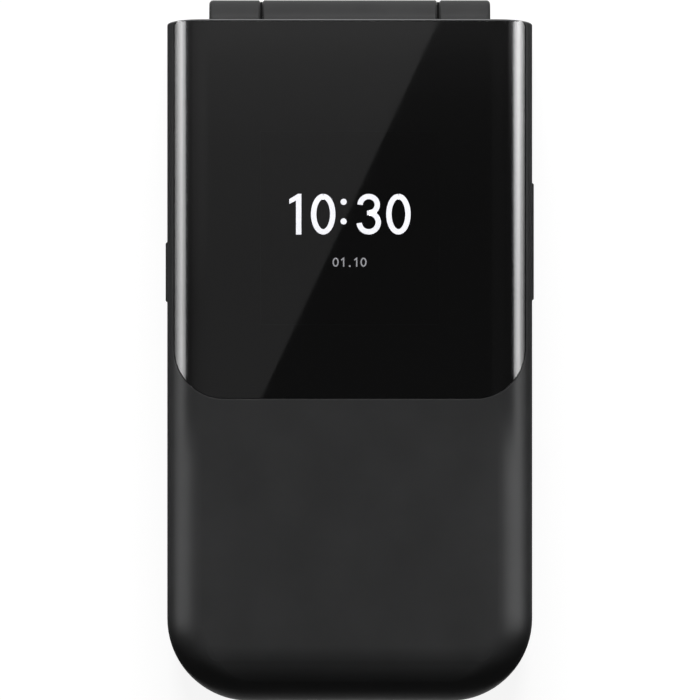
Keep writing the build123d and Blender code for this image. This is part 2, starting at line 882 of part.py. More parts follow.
def side_key(middle, length, nubs):
    """A key in the right-hand wall, with a flange inside the wall and nubs that reach for its switches."""
    near = middle - length / 2
    far = middle + length / 2
    with BuildPart() as piece:
        span(side_flange_inner, half_width + side_key_proud, near, far, side_key_low, side_key_high)
        fillet(piece.faces().sort_by(Axis.X)[-1].edges(), side_key_round)
        span(
            side_flange_inner,
            side_flange_outer,
            near - side_flange,
            far + side_flange,
            side_key_low - side_flange,
            side_key_high + side_flange,
        )
        nub_x = (nub_inner + side_flange_inner) / 2
        block(
            side_flange_inner - nub_inner,
            nub_size,
            side_key_level - nub_size / 2,
            side_key_level + nub_size / 2,
            [(nub_x, y) for y in nubs],
        )
    return piece.part


save(side_key(volume_middle, volume_length, volume_nubs), "volume_rocker")
save(side_key(side_key_middle, side_key_length, side_key_nubs).mirror(Plane.YZ), "side_key")

switch_x = switch_outer - switch_depth / 2
switch_spots = [(switch_x, y) for y in volume_nubs] + [(-switch_x, y) for y in side_key_nubs]
with BuildPart() as side_switches:
    block(switch_depth, switch_length, board_low - switch_height, board_low, switch_spots)
save(side_switches.part, "side_switches")

# ---------------------------------------------------------------- base: stations
base_screw_spots = paired(base_screw_near_inset, free_end + base_screw_near_from_end)
base_screw_spots += paired(base_screw_mid_inset, number_far + zone_rib - bonded_gap)
base_screw_spots += paired(base_screw_far_inset, block_near - base_screw_far_from_block)
base_screw_head_high = board_low - base_screw_grip
base_screw_head_low = base_screw_head_high - base_screw_head_height
base_block_low = base_thickness - base_block_height
usb_high = board_low - bonded_gap
usb_low = usb_high - usb_height
port_face = free_end + port_sunk
microphone_middle = free_end + microphone_from_end
battery_width = phone_width - 2 * battery_side_inset
battery_length = body_end - battery_from_far_end - free_end - battery_from_end
bay_near = free_end + battery_from_end - bay_gap
bay_far = bay_near + battery_length + 2 * bay_gap
bay_half_width = battery_width / 2 + bay_gap
well_half_width = half_width - well_side_inset
battery_low = cavity_low + bonded_gap
battery_high = battery_low + battery_thickness
bay_high = battery_high + fit_gap


def jack_cut(radius, near, far, mode):
    """A cylinder along Y on the audio socket's centre line."""
    with Locations(Location((jack_offset, (near + far) / 2, jack_level), (90, 0, 0))):
        Cylinder(radius, far - near, mode=mode)


def jack_room(low, high):
    """Clears the audio socket's body from whatever lies beside it."""
    span(
        jack_offset - jack_width / 2 - fit_gap,
        jack_offset + jack_width / 2 + fit_gap,
        free_end,
        port_face + jack_length + fit_gap,
        low,
        high,
        Mode.SUBTRACT,
    )


# ---------------------------------------------------------------- base: keypad shell with the knuckles
with BuildPart() as base_room:
    add(base_form(base_wall, 0.0, base_wall))
    span(-half_width, half_width, free_end, barrel_tip, 0, deck_low, Mode.INTERSECT)

with BuildPart() as base_block:
    add(base_outer)
    span(-half_width, half_width, block_near, barrel_tip, base_block_low, base_thickness, Mode.INTERSECT)

with BuildPart() as keypad_shell:
    add(base_outer)
    split(bisect_by=Plane.XY.offset(cover_seam_high), keep=Keep.TOP)
    add(base_room.part, mode=Mode.SUBTRACT)
    add(base_block.part)
    axle(swing_radius, -knuckle_near, knuckle_near, Mode.SUBTRACT)
    add(left_knuckle)
    add(right_knuckle)
    axle(thrust_radius, thrust_face, knuckle_near)
    axle(thrust_radius, -knuckle_near, -thrust_face)
    axle(bore_radius, thrust_face, knuckle_far, Mode.SUBTRACT)
    add(
        keyed_head(bore_radius, shaft_flats + 2 * running_gap, -knuckle_far, -thrust_face),
        mode=Mode.SUBTRACT,
    )
    axle(cap_radius + running_gap, knuckle_far - cap_thickness, knuckle_far, Mode.SUBTRACT)
    axle(cap_radius + running_gap, -knuckle_far, cap_thickness - knuckle_far, Mode.SUBTRACT)
    post(boss_radius, board_high, deck_high, base_screw_spots)
    post(
        screw_radius + screw_hole_gap,
        board_high,
        board_high + base_screw_reach + fit_gap,
        base_screw_spots,
        Mode.SUBTRACT,
    )
    # The sunk field that the keys stand in.
    field_near = free_end + field_near_from_end
    field_far = nav_middle + nav_size / 2 + nav_gap + key_flange
    add(
        plate(
            phone_width - 2 * field_inset,
            field_far - field_near,
            field_corner,
            deck_high,
            lid_low,
            (0, (field_near + field_far) / 2),
        ),
        mode=Mode.SUBTRACT,
    )
    # Openings for the keys, the microphone and the two ports.
    for spot in number_spots.values():
        add(
            plate(
                number_key_width + 2 * key_gap,
                number_key_depth + 2 * key_gap,
                key_corner + key_gap,
                deck_low,
                lid_low,
                spot,
            ),
            mode=Mode.SUBTRACT,
        )
    for spot in zone_spots.values():
        add(
            plate(
                zone_width + 2 * key_gap,
                zone_depth + 2 * key_gap,
                key_corner + key_gap,
                deck_low,
                lid_low,
                spot,
            ),
            mode=Mode.SUBTRACT,
        )
    add(
        plate(
            nav_size + 2 * nav_gap,
            nav_size + 2 * nav_gap,
            nav_corner + nav_gap,
            deck_low,
            lid_low,
            nav_spot,
        ),
        mode=Mode.SUBTRACT,
    )
    post(microphone_hole, deck_low, base_thickness, [(0, microphone_middle)], Mode.SUBTRACT)
    span(
        -usb_width / 2 - fit_gap,
        usb_width / 2 + fit_gap,
        free_end,
        free_end + 2 * base_wall,
        usb_low - fit_gap,
        usb_high + fit_gap,
        Mode.SUBTRACT,
    )
    jack_cut(jack_collar_radius + fit_gap, free_end, free_end + 2 * base_wall, Mode.SUBTRACT)
    # Slots for the keys in the side walls.
    span(
        wall_inner - base_wall,
        half_width,
        volume_middle - volume_length / 2 - side_key_gap,
        volume_middle + volume_length / 2 + side_key_gap,
        side_key_low - side_key_gap,
        side_key_high + side_key_gap,
        Mode.SUBTRACT,
    )
    span(
        -half_width,
        base_wall - wall_inner,
        side_key_middle - side_key_length / 2 - side_key_gap,
        side_key_middle + side_key_length / 2 + side_key_gap,
        side_key_low - side_key_gap,
        side_key_high + side_key_gap,
        Mode.SUBTRACT,
    )
save(keypad_shell.part, "keypad_shell")

# ------------------------------------------------------------ base: board, domes and what the board carries
board_far = block_near - fit_gap
with BuildPart() as main_board:
    with BuildSketch(Plane.XY.offset(board_low)):
        half_outline(board_inset, board_far)
    extrude(amount=board_thickness)
    jack_room(board_low, board_high)
    post(screw_radius + 2 * screw_hole_gap, board_low, board_high, base_screw_spots, Mode.SUBTRACT)
save(main_board.part, "main_board")

sheet_near = number_near - sheet_border
sheet_far = nav_middle + nav_size / 2 + sheet_border
sheet_half_width = pad_half_width + sheet_border
with BuildPart() as dome_sheet:
    span(-sheet_half_width, sheet_half_width, sheet_near, sheet_far, board_high, dome_sheet_high)
    jack_room(board_high, dome_high)
    post(boss_radius + fit_gap, board_high, dome_high, base_screw_spots, Mode.SUBTRACT)
    post(dome_radius, dome_sheet_high, dome_high, dome_spots)
save(dome_sheet.part, "dome_sheet")

with BuildPart() as microphone:
    block(
        microphone_width,
        microphone_depth,
        board_high,
        board_high + microphone_height,
        [(0, microphone_middle)],
    )
save(microphone.part, "microphone")


def shield_can(width, depth, height, spot):
    """A thin box, open towards the board that it hangs under."""
    with BuildPart() as piece:
        block(width, depth, board_low - height, board_low, [spot])
        offset(amount=-can_wall, openings=piece.faces().sort_by(Axis.Z)[-1])
    return piece.part


bay_middle = (bay_near + bay_far) / 2
far_can_width = 2 * (well_half_width - far_can_from_well)
far_can_spot = (0, bay_far + well_from_bay + far_can_depth / 2)
bay_can_width = 2 * (bay_half_width - bay_ledge - bay_can_from_ledge)
bay_can_near = bay_near + 2 * bay_ledge + socket_depth + socket_to_can
bay_can_far = bay_far - 2 * bay_ledge
bay_can_depth = bay_can_far - bay_can_near
bay_can_spot = (0, (bay_can_near + bay_can_far) / 2)
with BuildPart() as shield_cans:
    add(shield_can(bay_can_width, bay_can_depth, can_height, bay_can_spot))
    add(shield_can(far_can_width, far_can_depth, far_can_height, far_can_spot))
save(shield_cans.part, "shield_cans")

socket_y = bay_near + 2 * bay_ledge + socket_depth / 2
socket_x = (socket_width + socket_gap) / 2
socket_spots = [(-socket_x, socket_y), (socket_x, socket_y)]
with BuildPart() as card_sockets:
    block(socket_width, socket_depth, board_low - can_height, board_low, socket_spots)
save(card_sockets.part, "card_sockets")

# ---------------------------------------------------------------- base: ports
with BuildPart() as usb_port:
    span(-usb_width / 2, usb_width / 2, port_face, port_face + usb_length, usb_low, usb_high)
    span(
        usb_wall - usb_width / 2,
        usb_width / 2 - usb_wall,
        port_face,
        port_face + usb_mouth_depth,
        usb_low + usb_wall,
        usb_high - usb_wall,
        Mode.SUBTRACT,
    )
    usb_middle = (usb_low + usb_high) / 2
    span(
        -usb_tongue_width / 2,
        usb_tongue_width / 2,
        port_face + usb_tongue_setback,
        port_face + usb_mouth_depth,
        usb_middle - usb_tongue_thickness / 2,
        usb_middle + usb_tongue_thickness / 2,
    )
save(usb_port.part, "usb_port")

with BuildPart() as audio_jack:
    span(
        jack_offset - jack_width / 2,
        jack_offset + jack_width / 2,
        port_face + jack_collar_length,
        port_face + jack_length,
        jack_level - jack_height / 2,
        jack_level + jack_height / 2,
    )
    jack_cut(jack_collar_radius, port_face, port_face + jack_collar_length, Mode.ADD)
    jack_cut(jack_bore_radius, port_face, port_face + jack_bore_depth, Mode.SUBTRACT)
save(audio_jack.part, "audio_jack")

# ---------------------------------------------------------------- base: chassis
camera_spot = (camera_offset, body_end - camera_from_end)
flash_spot = (flash_offset, body_end - camera_from_end)
speaker_spot = (speaker_from_side - half_width, free_end + speaker_from_end)
motor_spot = (half_width - motor_from_side, free_end + motor_from_end)
antenna_spot = (antenna_offset, free_end + antenna_from_end)
contact_spot = (0, bay_far + contact_depth / 2)
contact_low = battery_low + (battery_thickness - contact_height) / 2
well_near = bay_far + well_from_bay
well_far = block_near - well_to_block
side_channel = side_flange_inner - side_key_travel - fit_gap

# The chassis's far end clears the back cover's leaning end wall as the cover comes away.
chassis_far = body_end - base_wall - cover_height * tan(radians(end_lean)) - fit_gap
with BuildPart() as chassis_blank:
    add(base_form(base_wall + fit_gap, cavity_low, base_wall + fit_gap))
    span(-half_width, half_width, free_end, chassis_far, 0, board_low, Mode.INTERSECT)

with BuildPart() as rear_chassis:
    add(chassis_blank.part)
    # Battery bay, open to the rear, and the opening in its ceiling.
    span(-bay_half_width, bay_half_width, bay_near, bay_far, 0, bay_high, Mode.SUBTRACT)
    span(
        bay_ledge - bay_half_width,
        bay_half_width - bay_ledge,
        bay_near + bay_ledge,
        bay_far - bay_ledge,
        0,
        board_low,
        Mode.SUBTRACT,
    )
    block(
        contact_width + 2 * fit_gap,
        contact_depth + 2 * fit_gap,
        0,
        bay_high,
        [contact_spot],
        Mode.SUBTRACT,
    )
    # Well for the parts under the hinge end of the board, with the camera's tower in it.
    span(
        -well_half_width,
        well_half_width,
        well_near,
        well_far,
        cavity_low + well_floor,
        board_low,
        Mode.SUBTRACT,
    )
    block(
        camera_size + 2 * camera_wall,
        camera_size + 2 * camera_wall,
        cavity_low,
        cavity_low + camera_height,
        [camera_spot],
    )
    block(
        camera_size + 2 * fit_gap,
        camera_size + 2 * fit_gap,
        cavity_low + camera_lens_height,
        board_low,
        [camera_spot],
        Mode.SUBTRACT,
    )
    post(camera_lens_radius + fit_gap, cavity_low, board_low, [camera_spot], Mode.SUBTRACT)
    block(
        flash_size + 2 * fit_gap,
        flash_size + 2 * fit_gap,
        cavity_low,
        board_low,
        [flash_spot],
        Mode.SUBTRACT,
    )
    # Room for the hinge block of the keypad shell.
    span(
        -half_width,
        half_width,
        block_near - fit_gap,
        barrel_tip,
        base_block_low - fit_gap,
        board_low,
        Mode.SUBTRACT,
    )
    # Pockets at the free end.
    block(
        speaker_width + 2 * fit_gap,
        speaker_depth + 2 * fit_gap,
        cavity_low,
        board_low,
        [speaker_spot],
        Mode.SUBTRACT,
    )
    post(motor_radius + fit_gap, cavity_low, board_low, [motor_spot], Mode.SUBTRACT)
    block(
        antenna_width + 2 * fit_gap,
        antenna_depth + 2 * fit_gap,
        cavity_low,
        cavity_low + antenna_thickness + bonded_gap,
        [antenna_spot],
        Mode.SUBTRACT,
    )
    span(
        -usb_width / 2 - fit_gap,
        usb_width / 2 + fit_gap,
        free_end,
        port_face + usb_length + fit_gap,
        usb_low - fit_gap,
        board_low,
        Mode.SUBTRACT,
    )
    span(
        jack_offset - jack_collar_radius - fit_gap,
        jack_offset + jack_collar_radius + fit_gap,
        free_end,
        port_face + jack_collar_length + fit_gap,
        jack_level - jack_collar_radius - fit_gap,
        board_low,
        Mode.SUBTRACT,
    )
    jack_room(jack_level - jack_height / 2 - fit_gap, board_low)
    # Channels for the side keys' flanges, and pockets for their switches.
    channel_low = side_key_low - side_flange - key_gap
    for side, middle, length in ((1, volume_middle, volume_length), (-1, side_key_middle, side_key_length)):
        channel_x = side * (side_channel + half_width) / 2
        block(
            half_width - side_channel,
            length + 2 * side_flange + 2 * key_gap,
            channel_low,
            board_low,
            [(channel_x, middle)],
            Mode.SUBTRACT,
        )
    pocket_inner = switch_outer - switch_depth - fit_gap
    pocket_x = (pocket_inner + half_width) / 2
    pocket_spots = [(pocket_x, y) for y in volume_nubs] + [(-pocket_x, y) for y in side_key_nubs]
    block(
        half_width - pocket_inner,
        switch_length + 2 * fit_gap,
        channel_low,
        board_low,
        pocket_spots,
        Mode.SUBTRACT,
    )
    # Screws come in from the rear.
    post(screw_head_radius + fit_gap, cavity_low, base_screw_head_high, base_screw_spots, Mode.SUBTRACT)
    post(screw_radius + screw_hole_gap, cavity_low, board_low, base_screw_spots, Mode.SUBTRACT)
save(rear_chassis.part, "rear_chassis")

base_screw_length = base_screw_grip + board_thickness + base_screw_reach
save(
    screws(base_screw_head_low, base_screw_head_height, base_screw_length, base_screw_spots),
    "base_screws",
)

# ---------------------------------------------------------------- base: what the chassis carries
with BuildPart() as battery:
    block(battery_width, battery_length, battery_low, battery_high, [(0, bay_middle)])
    fillet(battery.edges().filter_by(Axis.Z), battery_corner)
save(battery.part, "battery")

with BuildPart() as battery_contacts:
    block(contact_width, contact_depth, contact_low, contact_low + contact_height, [contact_spot])
    tip_length = 2 * (bay_gap - bonded_gap)
    with Locations((0, bay_far, contact_low + contact_height / 2)):
        with GridLocations(contact_pitch, contact_depth, contact_count, 1):
            Box(contact_tip, tip_length, contact_tip)
save(battery_contacts.part, "battery_contacts")

with BuildPart() as camera_module:
    post(camera_lens_radius, cavity_low, cavity_low + camera_height, [camera_spot])
    block(
        camera_size,
        camera_size,
        cavity_low + camera_lens_height,
        cavity_low + camera_lens_height + camera_height,
        [camera_spot],
    )
save(camera_module.part, "camera_module")

with BuildPart() as flash_lamp:
    block(flash_size, flash_size, cavity_low, cavity_low + flash_height, [flash_spot])
save(flash_lamp.part, "flash_lamp")

with BuildPart() as loudspeaker:
    block(speaker_width, speaker_depth, cavity_low, cavity_low + speaker_height, [speaker_spot])
    fillet(loudspeaker.edges().filter_by(Axis.Z), battery_corner)
save(loudspeaker.part, "loudspeaker")

with BuildPart() as vibration_motor:
    post(motor_radius, cavity_low, cavity_low + motor_height, [motor_spot])
save(vibration_motor.part, "vibration_motor")

with BuildPart() as antenna:
    block(antenna_width, antenna_depth, cavity_low, cavity_low + antenna_thickness, [antenna_spot])
save(antenna.part, "antenna")

rear_window_spot = (0, camera_spot[1])
save(
    plate(
        rear_window_width,
        rear_window_depth,
        rear_window_corner,
        rear_window_sunk,
        cavity_low - bonded_gap,
        rear_window_spot,
    ),
    "camera_window",
)

# ---------------------------------------------------------------- back cover
rear_window_hole = plate(
    rear_window_width + 2 * fit_gap,
    rear_window_depth + 2 * fit_gap,
    rear_window_corner + fit_gap,
    0,
    cover_height,
    rear_window_spot,
)
with BuildPart() as back_cover:
    add(base_outer)
    split(bisect_by=Plane.XY.offset(cover_height), keep=Keep.BOTTOM)
    add(base_form(base_wall, cover_wall, base_wall), mode=Mode.SUBTRACT)
    add(rear_window_hole, mode=Mode.SUBTRACT)
    with Locations((*speaker_spot, 0)):
        with GridLocations(grille_pitch, grille_slot_length, grille_slot_count, 1):
            Box(grille_slot_width, grille_slot_length, cover_height, mode=Mode.SUBTRACT)
save(back_cover.part, "back_cover")
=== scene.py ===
import json
import math

import bmesh
import bpy
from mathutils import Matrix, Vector


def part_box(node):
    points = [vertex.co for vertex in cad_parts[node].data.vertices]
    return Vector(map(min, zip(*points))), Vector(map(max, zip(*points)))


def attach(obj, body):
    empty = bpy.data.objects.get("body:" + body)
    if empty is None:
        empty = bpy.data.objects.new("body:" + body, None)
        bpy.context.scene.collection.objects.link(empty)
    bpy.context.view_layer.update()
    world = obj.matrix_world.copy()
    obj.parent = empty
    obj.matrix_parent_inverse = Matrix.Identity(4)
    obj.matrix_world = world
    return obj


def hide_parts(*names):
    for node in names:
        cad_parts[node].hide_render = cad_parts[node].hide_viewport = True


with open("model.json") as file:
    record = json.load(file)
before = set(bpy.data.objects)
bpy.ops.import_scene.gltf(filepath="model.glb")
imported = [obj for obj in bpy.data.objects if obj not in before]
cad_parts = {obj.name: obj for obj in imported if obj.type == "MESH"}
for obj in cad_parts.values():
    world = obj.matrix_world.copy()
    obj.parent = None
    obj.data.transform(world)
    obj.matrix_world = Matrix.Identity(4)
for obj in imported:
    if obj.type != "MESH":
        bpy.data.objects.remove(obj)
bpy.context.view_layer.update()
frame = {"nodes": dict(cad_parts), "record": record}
nodes = frame["nodes"]
MM = 0.001
SLOT_OF = {part["node"]: part["material_slot"] for part in frame["record"]["subparts"]}


# ---------------------------------------------------------------- materials
def shader_of(name):
    """A new material with its node tree and its Principled shader."""
    material = bpy.data.materials.new(name)
    material.use_nodes = True
    return material, material.node_tree, material.node_tree.nodes["Principled BSDF"]


NOISE_SPAN = (0.3, 0.7)  # most of a noise texture's values lie between these


def noise(tree, scale, detail, stretch=(1.0, 1.0, 1.0)):
    """Noise in the piece's own coordinates. The scale is in features per metre."""
    place = tree.nodes.new("ShaderNodeTexCoord")
    mapping = tree.nodes.new("ShaderNodeMapping")
    mapping.inputs["Scale"].default_value = stretch
    texture = tree.nodes.new("ShaderNodeTexNoise")
    texture.inputs["Scale"].default_value = scale
    texture.inputs["Detail"].default_value = detail
    tree.links.new(place.outputs["Object"], mapping.inputs["Vector"])
    tree.links.new(mapping.outputs["Vector"], texture.inputs["Vector"])
    return texture.outputs["Fac"]


def vary_colour(tree, shader, factor, dark, light):
    ramp = tree.nodes.new("ShaderNodeValToRGB")
    ramp.color_ramp.elements[0].position = NOISE_SPAN[0]
    ramp.color_ramp.elements[0].color = (*dark, 1)
    ramp.color_ramp.elements[1].position = NOISE_SPAN[1]
    ramp.color_ramp.elements[1].color = (*light, 1)
    tree.links.new(factor, ramp.inputs["Fac"])
    tree.links.new(ramp.outputs["Color"], shader.inputs["Base Color"])


def ramped(tree, value, start, end, low=0.0, high=1.0):
    """A value that goes from low to high while another goes from start to end."""
    span = tree.nodes.new("ShaderNodeMapRange")
    span.inputs["From Min"].default_value = start
    span.inputs["From Max"].default_value = end
    span.inputs["To Min"].default_value = low
    span.inputs["To Max"].default_value = high
    tree.links.new(value, span.inputs["Value"])
    return span.outputs["Result"]


def vary_roughness(tree, shader, factor, low, high):
    tree.links.new(ramped(tree, factor, *NOISE_SPAN, low, high), shader.inputs["Roughness"])


def relief(tree, shader, factor, depth, edge=0.0):
    """Bump of a depth in metres, over edges that the shading rounds by the edge radius, if there is one.

    Returns the normal with the rounded edges.
    """
    bump = tree.nodes.new("ShaderNodeBump")
    bump.inputs["Strength"].default_value = 1.0
    bump.inputs["Distance"].default_value = depth
    tree.links.new(factor, bump.inputs["Height"])
    normal = None
    if edge:
        rounded = tree.nodes.new("ShaderNodeBevel")
        rounded.samples = 4
        rounded.inputs["Radius"].default_value = edge
        normal = rounded.outputs["Normal"]
        tree.links.new(normal, bump.inputs["Normal"])
    tree.links.new(bump.outputs["Normal"], shader.inputs["Normal"])
    return normal


# How far a normal leans to the hinge end where a rim starts and where it is full, and where it ends because
# the face looks squarely that way. The paler rim is a painted highlight, as the key lamp at the hinge end
# would light it.
GLOSSY_RIM = (0.1, 0.7)
PAINTED_HIGHLIGHT_RIM = (0.15, 0.6)
RIM_END = (0.99, 0.93)
RIM_SPECULAR = 0.6


def on_rim(tree, normal, start, full):
    """1 where a normal in the piece's own coordinates leans to the hinge end without facing it squarely."""
    parts = tree.nodes.new("ShaderNodeSeparateXYZ")
    tree.links.new(normal, parts.inputs["Vector"])
    both = tree.nodes.new("ShaderNodeMath")
    both.operation = "MINIMUM"
    tree.links.new(ramped(tree, parts.outputs["Y"], start, full), both.inputs[0])
    tree.links.new(ramped(tree, parts.outputs["Y"], *RIM_END), both.inputs[1])
    return both.outputs["Value"]


def rims_with_painted_highlight(tree, shader, rounded, specular, highlight_colour):
    """Rims that lean to the hinge end get a higher specular level, and a paler colour where the moulding
    itself is rounded: the paler colour is a painted highlight.
    """
    own = tree.nodes.new("ShaderNodeVectorTransform")
    own.vector_type = "NORMAL"
    own.convert_from = "WORLD"
    own.convert_to = "OBJECT"
    tree.links.new(rounded, own.inputs["Vector"])
    rim = on_rim(tree, own.outputs["Vector"], *GLOSSY_RIM)
    gloss = ramped(tree, rim, 0.0, 1.0, specular, RIM_SPECULAR)
    tree.links.new(gloss, shader.inputs["Specular IOR Level"])
    place = tree.nodes.new("ShaderNodeTexCoord")
    pale = tree.nodes.new("ShaderNodeMix")
    pale.data_type = "RGBA"
    colour = next(socket for socket in pale.inputs if socket.name == "A" and socket.type == "RGBA")
    tree.links.new(shader.inputs["Base Color"].links[0].from_socket, colour)
    highlight_socket = next(socket for socket in pale.inputs if socket.name == "B" and socket.type == "RGBA")
    highlight_socket.default_value = (*highlight_colour, 1)
    # The paler colour on rims that lean to the hinge end is a painted highlight.
    tree.links.new(on_rim(tree, place.outputs["Normal"], *PAINTED_HIGHLIGHT_RIM), pale.inputs["Factor"])
    mixed = next(socket for socket in pale.outputs if socket.type == "RGBA")
    tree.links.new(mixed, shader.inputs["Base Color"])


def shade(colour, factor):
    return tuple(min(1.0, c * factor) for c in colour)


def moulded(name, colour, roughness, grain=0.0002, depth=0.000004, edge=0.0, specular=0.5, rim=None):
    """Moulded plastic: fine grain in the surface, and faint clouds in its colour and gloss."""
    material, tree, shader = shader_of(name)
    clouds = noise(tree, 120, 3)
    vary_colour(tree, shader, clouds, shade(colour, 0.92), shade(colour, 1.08))
    vary_roughness(tree, shader, noise(tree, 900, 3), roughness - 0.03, roughness + 0.03)
    rounded = relief(tree, shader, noise(tree, 1 / grain, 2), depth, edge)
    shader.inputs["Specular IOR Level"].default_value = specular
    # A rim colour given here is a painted highlight on rims that lean to the hinge end, where the key lamp
    # stands.
    if rim:
        rims_with_painted_highlight(tree, shader, rounded, specular, rim)
    return material


def metal(name, colour, roughness, stretch=(1.0, 1.0, 1.0)):
    """Metal with fine lines along the axis that is stretched least."""
    material, tree, shader = shader_of(name)
    lines = noise(tree, 2500, 3, stretch)
    vary_colour(tree, shader, lines, shade(colour, 0.88), shade(colour, 1.08))
    vary_roughness(tree, shader, noise(tree, 700, 2), roughness - 0.05, roughness + 0.07)
    relief(tree, shader, lines, 0.000002, 0.00005)
    shader.inputs["Metallic"].default_value = 1.0
    return material


def dark_glass(name, tint):
    """Smoked glass: clear enough for a lit display behind it, nearly black otherwise."""
    material, tree, shader = shader_of(name)
    vary_colour(tree, shader, noise(tree, 60, 2), shade(tint, 0.94), shade(tint, 1.06))
    vary_roughness(tree, shader, noise(tree, 300, 3), 0.018, 0.042)
    relief(tree, shader, noise(tree, 80, 1), 0.0000006)
    shader.inputs["Transmission Weight"].default_value = 1.0
    shader.inputs["IOR"].default_value = 1.5
    return material


def lit(name, colour, strength):
    """Self-lit pixels or ink: even light with a faint unevenness, as a real backlight has."""
    material, tree, shader = shader_of(name)
    cloud = noise(tree, 400, 2)
    vary_colour(tree, shader, cloud, shade(colour, 0.94), colour)
    ramp = tree.nodes.new("ShaderNodeValToRGB")
    ramp.color_ramp.elements[0].color = (*shade(colour, 0.96), 1)
    ramp.color_ramp.elements[1].color = (*colour, 1)
    tree.links.new(cloud, ramp.inputs["Fac"])
    tree.links.new(ramp.outputs["Color"], shader.inputs["Emission Color"])
    shader.inputs["Emission Strength"].default_value = strength
    shader.inputs["Roughness"].default_value = 0.5
    return material


def circuit(name, colour, traces):
    """A printed board: solder mask over faint tracks."""
    material, tree, shader = shader_of(name)
    place = tree.nodes.new("ShaderNodeTexCoord")
    bricks = tree.nodes.new("ShaderNodeTexBrick")
    bricks.inputs["Scale"].default_value = 600
    bricks.inputs["Mortar Size"].default_value = 0.03
    bricks.inputs["Color1"].default_value = (*colour, 1)
    bricks.inputs["Color2"].default_value = (*shade(colour, 0.85), 1)
    bricks.inputs["Mortar"].default_value = (*traces, 1)
    tree.links.new(place.outputs["Object"], bricks.inputs["Vector"])
    tree.links.new(bricks.outputs["Color"], shader.inputs["Base Color"])
    vary_roughness(tree, shader, noise(tree, 900, 2), 0.3, 0.42)
    relief(tree, shader, bricks.outputs["Fac"], 0.00001)
    return material


WAVE_PHASE = 20  # a wave texture's phase grows by this in a unit of length, at scale 1


def banded(name, colour, line, step, roughness):
    """A wrap or ribbon with fine parallel lines across it, whose phase grows by 1 with each step."""
    material, tree, shader = shader_of(name)
    place = tree.nodes.new("ShaderNodeTexCoord")
    wave = tree.nodes.new("ShaderNodeTexWave")
    wave.bands_direction = "X"
    wave.inputs["Scale"].default_value = 1 / (step * WAVE_PHASE)
    wave.inputs["Distortion"].default_value = 0.0
    tree.links.new(place.outputs["Object"], wave.inputs["Vector"])
    vary_colour(tree, shader, wave.outputs["Fac"], colour, line)
    vary_roughness(tree, shader, noise(tree, 500, 3), roughness - 0.05, roughness + 0.05)
    relief(tree, shader, noise(tree, 1500, 2), 0.000004)
    return material


CHARCOAL = (0.0247, 0.0250, 0.0254)
# A paler charcoal for rims that lean to the hinge end: a painted highlight, not wear.
PAINTED_RIM_HIGHLIGHT = (0.085, 0.086, 0.087)
MATERIALS = {
    "matte_black_plastic": moulded(
        "matte_black", CHARCOAL, 0.40, specular=0.075, edge=0.00018, rim=PAINTED_RIM_HIGHLIGHT
    ),
    "satin_black_plastic": moulded("satin_black", (0.0245, 0.0247, 0.025), 0.38, specular=0.1, edge=0.0001),
    "dark_window": dark_glass("smoked_glass", (0.09, 0.09, 0.095)),
    "display": moulded("display_off", (0.0025, 0.0025, 0.003), 0.22, depth=0.000001, specular=0.2),
    "key_plastic": moulded("key_plastic", (0.030, 0.030, 0.032), 0.36, specular=0.35, edge=0.0002),
    "bare_metal": metal("steel", (0.55, 0.54, 0.52), 0.32, (1, 12, 12)),
    "light_metal": metal("cast_alloy", (0.36, 0.37, 0.38), 0.48),
    "contact_metal": metal("gilt_contact", (0.83, 0.62, 0.28), 0.27, (1, 8, 8)),
    "inner_plastic": moulded("inner_black", (0.020, 0.020, 0.021), 0.5, grain=0.0003, depth=0.000006),
    "board": circuit("solder_mask", (0.012, 0.075, 0.035), (0.05, 0.16, 0.06)),
    "film": moulded("clear_film", (0.62, 0.62, 0.58), 0.28, depth=0.000002),
    "battery_wrap": banded("battery_wrap", (0.033, 0.034, 0.037), (0.045, 0.046, 0.05), 0.0012, 0.42),
    "rubber": moulded("rubber", (0.016, 0.016, 0.016), 0.72, grain=0.00025, depth=0.000008, specular=0.3),
    "port_plastic": moulded("port_black", (0.010, 0.010, 0.010), 0.45, depth=0.000003),
    "ribbon": banded("flex_ribbon", (0.36, 0.17, 0.035), (0.50, 0.27, 0.07), 0.0006, 0.36),
}
for name, node in nodes.items():
    node.data.materials[0] = MATERIALS[SLOT_OF[name]]


def place(piece, body, slot, replaced=()):
    """Puts a finished piece on its body, in the place of the CAD nodes that it stands for."""
    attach(piece, body)
    if replaced:
        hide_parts(*replaced)


def new_object(name, data, material):
    piece = bpy.data.objects.new(name, data)
    bpy.context.scene.collection.objects.link(piece)
    data.materials.append(material)
    return piece


def smooth(mesh, angle):
    """Smooth shading, but for the edges that are sharper than an angle in degrees."""
    for polygon in mesh.polygons:
        polygon.use_smooth = True
    mesh.set_sharp_from_angle(angle=math.radians(angle))


def ground_edge(piece, width):
    """Rounds off a piece's edges, as glass is ground."""
    bevel = piece.modifiers.new("ground_edge", "BEVEL")
    bevel.width = width
    bevel.segments = 3
    bevel.limit_method = "ANGLE"
    bevel.angle_limit = math.radians(60)


def middle_of(name):
    """The middle of a CAD node, along X and Y."""
    low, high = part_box(name)
    return (low.x + high.x) / 2, (low.y + high.y) / 2


# ---------------------------------------------------------------- the lid's window
ROLL = 5.2 * MM  # the lid's long edges
window_low, window_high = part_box("outer_window")
window_far = window_high.y + 0.08 * MM
lid_top = window_high.z
roll_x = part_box("lid_shell")[1].x - ROLL
roll_z = lid_top - ROLL
GLASS = 0.8 * MM
NEAR_CORNER = 7.4 * MM
FAR_CORNER = 0.8 * MM
COLUMNS = 60  # from the window's middle line to its side, closer together toward the side
ROLL_COLUMNS, ROLL_PITCH = 34, 0.12 * MM  # more of them where it rolls down
ROWS = 24
WELD = 0.002 * MM


